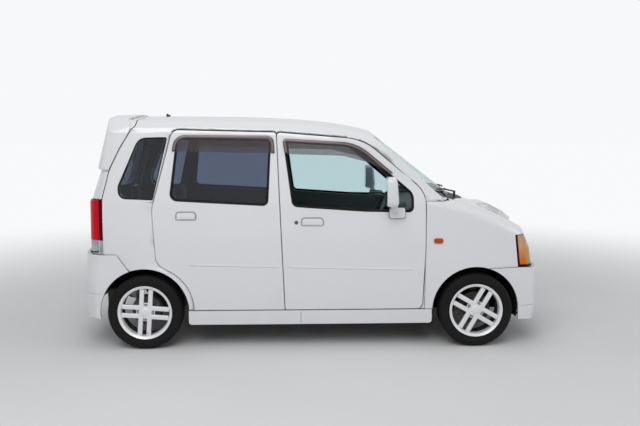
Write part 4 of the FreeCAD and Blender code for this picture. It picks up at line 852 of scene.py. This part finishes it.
# Painted shade: the ledge's lower row gets this grey.
crease_shade = finish("crease_shade", (0.20, 0.205, 0.215), 0.5, vary=0.02)
along = np.linspace(0, 1, 90)[:, None]
full = np.clip(np.minimum(along, 1 - along) * 12, 0, 1)
under = np.tile([True, False, False, False], len(along) - 1)
for part, ends in CREASES.items():
    (x0, z0), (x1, z1) = mm(*ends)
    x, z = x0 + (x1 - x0) * along, z0 + (z1 - z0) * along + LEDGE[:, 0]
    depth = LEDGE[:, 1] * full + END_DEPTH * (1 - full)
    put_both(part + "_crease", lambda sign: sheet(points(x, sign * (side_y(x, z) - depth), z), sign > 0),
             paint, part, 50, (crease_shade, under))
print("creases", len(CREASES) * 2)

# %% [markdown]
# A tyre is one cross-section turned round its axle, tread and all: the section has steps at the long
# grooves, and the angles come in groups of five, so that a cross groove has upright walls. Shifting
# the angle with the distance from the middle slants the cross grooves. The sidewall has two fine
# raised rings and no lettering.

# %% Tyres
TREAD_R, SHOULDER_R, CROWN, PITCHES = 0.265, 0.250, 0.002, 60
LONG_GROOVE, CROSS_GROOVE, CROSS_SHALLOW, CROSS_FROM, SLANT = 0.0068, 0.0062, 0.0012, 0.0205, 2.4
SIDE_WALL = mm(
    (66, 262), (71.5, 258), (75.5, 252), (77.4, 249.2), (78.4, 248.6), (78.9, 247.2), (78.6, 245.6),
    (80.2, 240), (81.8, 233), (82.3, 226), (82.0, 218), (81.0, 211), (79.8, 206.5), (80.2, 205.2),
    (80.0, 203.6), (78.9, 202.4), (77.0, 198.5), (75.2, 195), (73.7, 192.5), (73.7, 184),
    (73.7, 178.3))
tread_y = mm(0, 11.7, 12, 20, 20.3, 38.7, 39, 47, 47.3, 60)
in_groove = np.isin(tread_y, mm(12, 20, 39, 47))
tread_r = TREAD_R - CROWN * (tread_y / tread_y[-1]) ** 2 - LONG_GROOVE * in_groove
half = np.vstack([np.stack([tread_y, tread_r], 1), SIDE_WALL])
section_y, section_r = np.vstack([half[:0:-1] * (-1, 1), half]).T
on_tread = section_r > SHOULDER_R
phase = np.array([0.0, 0.015, 0.115, 0.13, 0.56])
turn = (np.arange(PITCHES)[:, None] + phase).ravel() / PITCHES * 2 * np.pi
in_cross = np.tile([0, 1, 1, 0, 0], PITCHES)[:, None]
cross = np.where(section_r > TREAD_R - 0.0065, CROSS_GROOVE, CROSS_SHALLOW)
radius = section_r - in_cross * cross * (on_tread & (np.abs(section_y) > CROSS_FROM))
angle = turn[:, None] + np.where(on_tread, SLANT * np.abs(section_y), 0.060 * SLANT)
tyre = points(radius * np.cos(angle), section_y, radius * np.sin(angle))


def to_wheel(grid, centre, sign, degrees=0.0):
    """Points made for a right-hand wheel at the origin, turned about its axle and moved in place."""
    c, s = math.cos(math.radians(degrees)), math.sin(math.radians(degrees))
    x, y, z = np.moveaxis(grid, -1, 0)
    return points(c * x + s * z, -sign * y, c * z - s * x) + centre


WHEELS = []
for end in ("front", "rear"):
    for hand, sign in SIDES:
        WHEELS.append((end, f"{end}_{hand}", sign, np.mean(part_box(f"rim_{end}_{hand}"), axis=0)))
for end, label, sign, centre in WHEELS:
    mesh = solid(to_wheel(tyre, centre, sign), "uv")
    piece = put(f"tyre_{label}_dressed", mesh, tyre_black, f"wheel_{label}", 35)
    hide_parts(f"tyre_{label}")
print("tyre faces", len(mesh.polygons), "wheel centres", [wheel[3].round(4).tolist() for wheel in WHEELS])

# %% [markdown]
# The cast wheel has four long bars laid like a hash sign, so each spoke is a pair with a slot
# between, and four nuts sit at the inner ends of the slots. The lip and barrel are one turned
# profile. Each bar is a rounded rectangle carried along a chord of the barrel.

# %% Wheels
WHEEL_TURN = {"front": 30.0, "rear": 4.0}
RIM_PROFILE = mm(
    (-82, 188), (-81.6, 190.8), (-80, 192), (-77, 192), (-74.4, 191.2), (-74, 178), (74, 178),
    (74.4, 191.4), (78, 192), (81.6, 190.6), (82, 187), (77, 172), (50, 168), (-30, 167), (-60, 168.5),
    (-68, 170.4), (-71, 172.4), (-74, 173.4), (-76, 175), (-77.2, 179), (-79, 184))
HUB_PROFILE = mm(
    (-40, 0.1), (-40, 65), (-48, 67), (-51.5, 66), (-53, 63), (-53, 33), (-60, 32), (-64.5, 30.5),
    (-66.5, 27), (-67.4, 18), (-67.8, 0.1))
NUT_PROFILE = mm(
    (-50, 0.1), (-50, 13.0), (-53.6, 13.0), (-53.8, 9.2), (-63, 9.0), (-65.5, 6.5), (-66, 0.1))
VALVE_PROFILE = mm(
    (-38, 0.1), (-38, 5.5), (-50, 5.0), (-54, 3.8), (-68, 3.4), (-70, 2.6), (-70, 0.1))
BAR_HALF, BAR_DEPTH, BAR_OFFSET, BAR_REACH, BAR_Y, DISH = 0.0162, 0.024, 0.0308, 0.1715, -0.054, 0.0025
NUT_CIRCLE, VALVE_PLACE, INNER_Y, INNER_R = 0.050, (0.012, 0, -0.150), 0.0405, 0.1735


def signed_power(value, power):
    """A power that keeps the sign."""
    return np.sign(value) * np.abs(value) ** power


def bar_grid(offset):
    """A rounded rectangle carried along a chord of the barrel, a little dished at the middle."""
    t = np.linspace(0, 2 * np.pi, 33)[:-1]
    across, deep = BAR_HALF * signed_power(np.cos(t), 0.3), BAR_DEPTH / 2 * signed_power(np.sin(t), 0.3)
    reach = math.sqrt(BAR_REACH ** 2 - (abs(offset) + BAR_HALF) ** 2)
    along = np.linspace(-reach, reach, 25)[:, None]
    return points(along, BAR_Y + deep + DISH * np.cos(along / reach * np.pi / 2) ** 2, offset + across)


def joined(meshes):
    """Several meshes as one."""
    work = bmesh.new()
    for mesh in meshes:
        work.from_mesh(mesh)
        bpy.data.meshes.remove(mesh)
    made = bpy.data.meshes.new("form")
    work.to_mesh(made)
    work.free()
    return made


for end, label, sign, centre in WHEELS:
    body, degrees = f"wheel_{label}", WHEEL_TURN[end]
    shells = [solid(to_wheel(turned(RIM_PROFILE, steps=128), centre, sign), "uv"),
              solid(to_wheel(turned(HUB_PROFILE, steps=64), centre, sign))]
    shells += [solid(to_wheel(bar_grid(offset), centre, sign, degrees + quarter), "v", caps=True)
               for quarter in (0, 90) for offset in (-BAR_OFFSET, BAR_OFFSET)]
    rim = joined(shells)
    x, y, z = (read(rim.polygons, "center") - centre).T
    # Painted shade with dust: the inside of the barrel, behind the spokes, gets the near-black finish.
    inner = (sign * y < INNER_Y) & (np.hypot(x, z) < INNER_R)
    piece = put(f"rim_{label}_dressed", rim, silver_paint, body, 38, (barrel_dark, inner))
    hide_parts(f"rim_{label}")
    spots = [(NUT_CIRCLE * math.cos(a), 0, -NUT_CIRCLE * math.sin(a))
             for a in np.radians(degrees + 90 * np.arange(4))]
    nuts = joined([solid(to_wheel(turned(NUT_PROFILE, spot, steps=6), centre, sign)) for spot in spots])
    # Painted shade: the foot of each nut, down in its hole, gets the dark cast finish.
    painted_hole_shade = np.tile([True] * 3 + [False] * 3, len(nuts.polygons) // 6)
    put(f"wheel_nuts_{label}", nuts, steel, body, 30, (cast, painted_hole_shade))
    valve = solid(to_wheel(turned(VALVE_PROFILE, VALVE_PLACE, steps=16), centre, sign))
    put(f"valve_{label}", valve, rubber, body)
print("wheels", len(WHEELS), "rim faces", len(rim.polygons))

# %% [markdown]
# Behind the spokes there is a brake: a disc with its hat in front, a drum behind. Both are turned
# profiles, since little more than their outline shows through the gaps between the spokes.

# %% Brakes
DISC_PROFILE = mm(
    (-20, 30), (-20, 66), (-17, 70), (6, 71), (8, 74), (8, 116), (9.5, 118), (18.5, 118), (20, 116),
    (20, 30))
DRUM_PROFILE = mm(
    (5, 20), (3, 60), (5, 88), (9, 98), (14, 104), (42, 105), (44, 110), (50, 110), (50, 20))
for end, label, sign, centre in WHEELS:
    profile, material = (DISC_PROFILE, cast) if end == "front" else (DRUM_PROFILE, chassis)
    mesh = solid(to_wheel(turned(profile, steps=96), centre, sign), "uv")
    put(f"brake_{label}", mesh, material, f"wheel_{label}", 30)
print("brakes", len(WHEELS))

# %% [markdown]
# A soft box is a closed form between a block and an egg: |x/a|^n + |y/b|^n + |z/c|^n = 1, with n
# from 2, an ellipsoid, upwards, squarer. The door mirror is made of such forms: an upright shell on
# a foot, bulging forward and flat at the rear, with the glass set in a dark rim. It is made for the
# right-hand door and mirrored.
# A box with rounded edges would do for the shell, but not swell so softly.

# %% Door mirrors
SHELL_FRONT, SHELL_NARROW, SHELL_LEAN = 1.12, 0.10, 0.05


def soft_box(centre, half, n=4.0, rows=36, cols=72, shift=None):
    """Superellipsoid by two angles; shift moves points by a function of their place."""
    up = np.linspace(-np.pi / 2, np.pi / 2, rows)[:, None]
    around = np.linspace(0, 2 * np.pi, cols, endpoint=False)
    flat = signed_power(np.cos(up), 2 / n)
    x, y = (flat * signed_power(wave(around), 2 / n) for wave in (np.cos, np.sin))
    grid = points(x, y, signed_power(np.sin(up), 2 / n)) * half
    return solid((shift(grid) if shift else grid) + centre, "v")


def mirror_shell(grid):
    """The housing: flat at the rear, fuller in front, narrower towards the top."""
    x, y, z = np.moveaxis(grid, -1, 0)
    x = np.where(x < 0, np.maximum(x, -0.036), x * (SHELL_FRONT - 0.25 * (y / 0.075) ** 2))
    return points(x * (1 - SHELL_NARROW * z / 0.104) - SHELL_LEAN * z, y, z)


def moved(mesh, spots):
    """Puts the vertices of a mesh at other places."""
    mesh.vertices.foreach_set("co", spots.ravel())
    mesh.update()


def flipped(mesh, sign):
    """The left-hand copy of a mesh made for the right: y changes its sign, the faces turn back."""
    if sign > 0:
        moved(mesh, read(mesh.vertices) * (1, -1, 1))
        mesh.flip_normals()
    return mesh


def without_mirror(work):
    """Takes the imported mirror, which stands out past the skin, off a door."""
    x, y, z = np.abs(np.array([v.co for v in work.verts])).T
    foot = (y > 0.728) & (x > 0.52) & (x < 0.65) & (z > 0.925) & (z < 1.02)
    gone = [v for v, out in zip(work.verts, (y > 0.7405) | foot) if out]
    bmesh.ops.delete(work, geom=gone, context="VERTS")


for hand, sign in SIDES:
    reworked(skins[f"door_front_{hand}"].data, without_mirror)
    housing = joined([
        soft_box((0.534, -0.819, 1.128), (0.043, 0.0745, 0.103), 4.6, shift=mirror_shell),
        soft_box((0.586, -0.735, 0.972), (0.056, 0.0135, 0.0370), 7.0),
        soft_box((0.560, -0.764, 1.004), (0.026, 0.034, 0.026), 3.6)])
    gasket = soft_box((0.586, -0.731, 0.972), (0.0585, 0.0100, 0.0395), 7.0)
    dark_rim = soft_box((0.4995, -0.819, 1.130), (0.0022, 0.066, 0.093), 5.0)
    glass = soft_box((0.4985, -0.819, 1.130), (0.0022, 0.060, 0.086), 5.0)
    for label, mesh, material, slot_name, fold in (
            ("gasket", gasket, rubber, "black_plastic", 40), ("housing", housing, paint, "body_paint", 50),
            ("rim", dark_rim, black, "black_plastic", 40), ("glass", glass, mirror_glass, "steel", 40)):
        put(f"mirror_{label}_{hand}", flipped(mesh, sign), material, f"door_front_{hand}", fold)
print("mirror faces", len(housing.polygons))

# %% [markdown]
# The nose and the tail are bowed in plan. A short table gives how far the face falls back at each
# distance from the middle, and badges of trim follow it: each is a rounded rectangle raised a few
# millimetres over the face. The tail lamps are moved too: their lenses bulge a little to the rear.

# %% Front and rear faces
BOW_Y = np.array([0, 0.1, 0.2, 0.3, 0.4, 0.5, 0.55, 0.6, 0.64, 0.68])
REAR_BOW = np.array([0, 0.0021, 0.0083, 0.0186, 0.0309, 0.0432, 0.0493, 0.0587, 0.0760, 0.1065])
GATE_X, BUMPER_X, PLATE_X, PLATE = -1.6368, -1.6975, 1.6966, (0.165, 0.0825)
LAMP_FOOT, LAMP_HIGH, LEAST_BULGE, MORE_BULGE = 0.684, 0.382, 0.009, 0.005


def rear_x(y, z):
    """The tailgate's outside."""
    return GATE_X + np.interp(np.abs(y), BOW_Y, REAR_BOW) + 0.345 * np.clip(z - 1.046, 0, None)


def rear_bumper_x(y, z):
    """The rear bumper's outside, which leans in above 0.48 m and below."""
    lean = np.where(z > 0.48, 0.1 * (z - 0.48), 0.0455 * (0.48 - z))
    return BUMPER_X + np.interp(np.abs(y), BOW_Y, REAR_BOW) + lean


def badge(name, surface, middle, half, radius, lift, material, body, facing=-1):
    """Puts a rounded rectangle, raised over a face that looks along x: 1 is the front, -1 the rear."""
    across = np.linspace(-half[0] - 0.001, half[0] + 0.001, max(int(half[0] / 0.0015), 24))[:, None]
    up = np.linspace(-half[1] - 0.001, half[1] + 0.001, max(int(half[1] / 0.0015), 16))
    inside = -box_distance(across, up, half[0], half[1], radius)
    height = np.where(inside < 0, -0.002, lift * smooth(inside, -0.0005, 0.003))
    y, z = middle[0] + across, middle[1] + up
    mesh = sheet(points(surface(y, z) + facing * height, y, z), flip=facing < 0)
    put(name, mesh, material, body)


lamps = skins["tail_lamps"].data
spots = read(lamps.vertices)
bulge = LEAST_BULGE + MORE_BULGE * np.sin(np.pi * np.clip((spots[:, 2] - LAMP_FOOT) / LAMP_HIGH, 0, 1))
spots[:, 0] -= bulge * smooth(-spots[:, 0], 1.500, 1.550)
moved(lamps, spots)

badge("tailgate_garnish", rear_x, (0, 0.772), (0.27, 0.026), 0.02, 0.012, paint, "tailgate")
badge("tailgate_grip", lambda y, z: rear_x(y, z) - 0.0105, (0, 0.757), (0.075, 0.009), 0.006, 0.003,
      black, "tailgate")
badge("high_lamp", lambda y, z: rear_x(y, 1.0) + 0.1336, (0, 1.600), (0.11, 0.009), 0.006, 0.0018,
      red, "tailgate")
for hand, sign in SIDES:
    badge(f"reflector_{hand}", rear_bumper_x, (sign * 0.50, 0.345), (0.045, 0.014), 0.008, 0.004,
          red, "body")
for name, facing, z in (("plate_rear", -1, 0.480), ("plate_front", 1, 0.478)):
    badge(name, lambda y, z: facing * PLATE_X, (0, z), PLATE, 0.012, 0.0012, plate_white, "body",
          facing)

print("tail lamps bulge to", spots[:, 0].min().round(4))

# %% [markdown]
# The rear wiper is three round bars: a hub, an arm and a blade, each carried along a row of points.
# Curve objects with a round bevel could serve as well, but a mesh is ready to be joined.

# %% Rear wiper
WIPER_Y, WIPER_Z, BLADE_Z = 0.03, 1.07, 1.14


def tube(path, radius, sides=12):
    """A round bar along a row of points, closed at its ends."""
    path = np.asarray(path, float)
    along = np.gradient(path, axis=0)
    along /= np.linalg.norm(along, axis=1)[:, None]
    side = np.cross(along, (0.0, 0.0, 1.0) if abs(along[0, 2]) < 0.9 else (1.0, 0.0, 0.0))
    side /= np.linalg.norm(side, axis=1)[:, None]
    angle = np.linspace(0, 2 * np.pi, sides, endpoint=False)[:, None]
    ring = side[:, None] * np.cos(angle) + np.cross(side, along)[:, None] * np.sin(angle)
    return solid(path[:, None] + radius * ring, "v", caps=True)


pivot_x = rear_x(WIPER_Y, WIPER_Z)
hub = tube([(pivot_x + 0.004, WIPER_Y, WIPER_Z), (pivot_x - 0.022, WIPER_Y, WIPER_Z)], 0.014, 24)
y = np.linspace(WIPER_Y, 0.30, 24)
out = y - WIPER_Y
arm = tube(points(rear_x(y, WIPER_Z) - 0.016 - 0.006 * np.sin(out * 11), y, WIPER_Z + out * 0.26), 0.0055)
y = np.linspace(0.10, 0.46, 30)
blade = tube(points(rear_x(y, BLADE_Z) - 0.004, y, 1.132 + 0.02 * (y - 0.1)), 0.0065)
put("rear_wiper", joined([hub, arm, blade]), black, "tailgate")
print("wiper pivot at", round(float(pivot_x), 4))

# %% [markdown]
# Behind the slots of the grille, the bumper and the scoop lies a wire mesh. It is one curved sheet
# whose holes are worked out in the material: two sets of waves cross, and between them alpha is 0.
# Modelled wires would take many thousands of faces for something seen through a slot.

# %% Wire mesh
WIRE_WAVES, WIRE_SLANT, WIRE_THICK = 420.0, 0.6, 0.34
FRONT_BOW = np.array([0, 0.0038, 0.0147, 0.0270, 0.0392, 0.0515, 0.0577, 0.0671, 0.0840, 0.113])
# Name, x at the middle, half width, low and high edge, lean above 0.7 m, body.
MESHES = [("grille_mesh", 1.608, 0.374, 0.62, 0.79, -0.25, "body"),
          ("intake_mesh", 1.655, 0.36, 0.23, 0.395, 0, "body"),
          ("scoop_mesh", 1.462, 0.140, 0.872, 0.904, 0, "bonnet")]
wire = finish("wire_mesh", (0.015, 0.015, 0.016), 0.5, metallic=0.3)
tree = wire.node_tree
_, y, z = xyz(tree)
slanted = maths(tree, "MULTIPLY", z, WIRE_SLANT)
ways = [maths(tree, "MULTIPLY", maths(tree, way, y, slanted), WIRE_WAVES) for way in ("ADD", "SUBTRACT")]
wires = [maths(tree, "ABSOLUTE", maths(tree, "SINE", way)) for way in ways]
feed(tree, shader(wire), {"Alpha": maths(tree, "LESS_THAN", maths(tree, "MINIMUM", *wires), WIRE_THICK)})
for name, x0, half, low, high, lean, body in MESHES:
    y, z = np.linspace(-half, half, 40)[:, None], np.linspace(low, high, 6)
    x = x0 - np.interp(np.abs(y), BOW_Y, FRONT_BOW) + lean * np.clip(z - 0.7, 0, None)
    put(name, sheet(points(x, y, z)), wire, body)
print("meshes", len(MESHES))

# %% [markdown]
# Inside the headlamps and fog lamps sit turned bowls, bright as mirrors, with a bulb in the middle.
# A lens without them looks empty, since what shines in a lamp by day is its reflector.

# %% Reflectors
BOWL = np.array([
    (0, 1.00), (-0.30, 0.90), (-0.62, 0.68), (-0.85, 0.40), (-0.95, 0.18), (-0.95, 0.04), (-1.0, 0.04),
    (-0.93, 0.30), (-0.70, 0.72), (-0.34, 0.96), (-0.02, 1.06), (0.02, 1.04)])
# Place, radius and depth of the two headlamp bowls and the fog lamp's.
LAMPS = [(1.562, 0.478, 0.690, 0.068, 0.050), (1.548, 0.570, 0.684, 0.034, 0.030),
         (1.628, 0.480, 0.330, 0.036, 0.026)]
for hand, sign in SIDES:
    bowls, bulbs = [], []
    for x, y, z, r, deep in LAMPS:
        bowls.append(solid(turned(BOWL * (deep, r), (x, sign * y, z), 0), "uv"))
        bulbs.append(soft_box((x - deep * 0.55, sign * y, z), (deep * 0.30, r * 0.15, r * 0.15), 2.6, 12, 20))
    put(f"lamp_bowls_{hand}", joined(bowls), chrome, "body")
    put(f"lamp_bulbs_{hand}", joined(bulbs), plate_white, "body")
print("bowls", 2 * len(LAMPS))

# %% [markdown]
# A seat pad is a rounded section in side view carried across the car, closing at the sides like a
# bar of soap. Its face towards the sitter is then shaped: bolsters at the sides, a crown between
# them and sewn channels that pull in.
# Cloth simulation would give creases too, but it takes long; moving the points is quick and even.

# %% Seats
CROWN_HIGH, SEAM_DEEP, CHANNEL_DEEP = 0.008, 0.007, 0.006
CUSHION = [(-228, 6, 40), (-228, 132, 44), (228, 152, 60), (228, 6, 50)]
BACK = [(-188, 104, 30), (-284, 612, 40), (-342, 614, 34), (-284, 72, 34)]
HEAD = [(-276, 0, 20), (-292, 170, 30), (-356, 164, 30), (-332, 0, 20)]
# Node, place, half width, places of headrests across, how much taller the back is, in mm.
SEATS = [("front_seat_right", 95, -320, 330, 236, [0], 0), ("front_seat_left", 95, 320, 330, 236, [0], 0),
         ("rear_seat", -760, 0, 426, 505, [-270, 270], -100)]


def pad(corners, x0, z0, middle_y, half_y, face, bolster=0.016, channels=(-0.35, 0.05, 0.45)):
    """A pad from its side view, moved by x0 and z0; its face looks along (x, z)."""
    section = rounded([(x + x0, z + z0, r) for x, z, r in corners], step=0.007)
    middle = section.mean(0)
    v = np.sin(np.linspace(-np.pi / 2, np.pi / 2, 100))
    flat = middle + ((1 - np.abs(v) ** 9) ** (1 / 9))[:, None, None] * (section - middle)
    face = np.array(face) / np.linalg.norm(face)
    away, along = (flat - middle) @ face, (flat - middle) @ np.array([-face[1], face[0]])
    u, w = along / np.abs(along).max(), np.abs(v)[:, None]
    front = smooth(away / np.abs(away).max(), 0.15, 0.75)
    lift = bolster * smooth(w, 0.55, 0.85) * (1 - w ** 8) + CROWN_HIGH * (1 - u ** 2) * (1 - w ** 2)
    lift = lift - SEAM_DEEP * np.exp(-((w - 0.6) / 0.03) ** 2)
    for seam in channels:
        lift = lift - CHANNEL_DEEP * np.exp(-((u - seam) / 0.028) ** 2) * smooth(-w, -0.64, -0.56)
    x, z = np.moveaxis(flat + (front * lift)[..., None] * face, -1, 0)
    return solid(points(x, middle_y + v[:, None] * half_y * (1 - 0.02 * (1 - u ** 2)), z), "v")


for node, x0, y0, z0, half_y, heads, taller in SEATS:
    back = [(x, z + (taller if z > 300 else 0), r) for x, z, r in BACK]
    pads = {"cushion": pad(CUSHION, x0, z0, y0 / 1000, half_y / 1000, (-0.04, 1)),
            "back": pad(back, x0, z0, y0 / 1000, half_y / 1000 - 0.004, (1, 0.18))}
    for i, dy in enumerate(heads):
        pads[f"head_{i}"] = pad(HEAD, x0, z0 + 616 + taller, (y0 + dy) / 1000, 0.115, (1, 0.1), 0.004, ())
    for label, mesh in pads.items():
        piece = put(f"{node}_{label}", mesh, cloth, "body", 80)
        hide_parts(node)
    if node != "rear_seat":
        base = soft_box((x0 / 1000, y0 / 1000, 0.287), (0.185, 0.185, 0.060), 8.0)
        put(f"{node}_base", base, trim_grey, "body")
print("seats", len(SEATS))

# %% [markdown]
# Small things inside show through the glass: the instrument hood, a middle panel with its vents,
# and the inner mirror on its stalk.
# Soft boxes are enough for forms that nobody sees close up.

# %% Inside
INSIDE = {
    "instrument_hood": (soft_box((0.640, -0.32, 0.985), (0.060, 0.150, 0.040)), trim_grey),
    "middle_panel": (soft_box((0.618, 0.0, 0.860), (0.030, 0.130, 0.110), 7.0), black),
    "inner_mirror": (joined([
        soft_box((0.548, 0.0, 1.400), (0.010, 0.105, 0.029)),
        tube([(0.588, 0, 1.414), (0.572, 0, 1.411), (0.552, 0, 1.402)], 0.006)]), black),
}
for name, (mesh, material) in INSIDE.items():
    put(name, mesh, material, "body")
print("inside pieces", len(INSIDE))

# %% [markdown]
# Each skirt is made of two lengths, and a fine dark joint shows between them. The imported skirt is
# one piece, so a thin dark strip just over its face stands for the joint.

# %% Skirt joints
JOINT_OUT = 0.0063
x, z = np.linspace(-0.0942, -0.0918, 3)[:, None], np.linspace(0.186, 0.268, 12)
put_both("skirt_joint", lambda sign: sheet(points(x, sign * (side_y(x, z) + JOINT_OUT), z), sign > 0),
         rubber, "body")
print("joints at", x[0].round(4))

# %% [markdown]
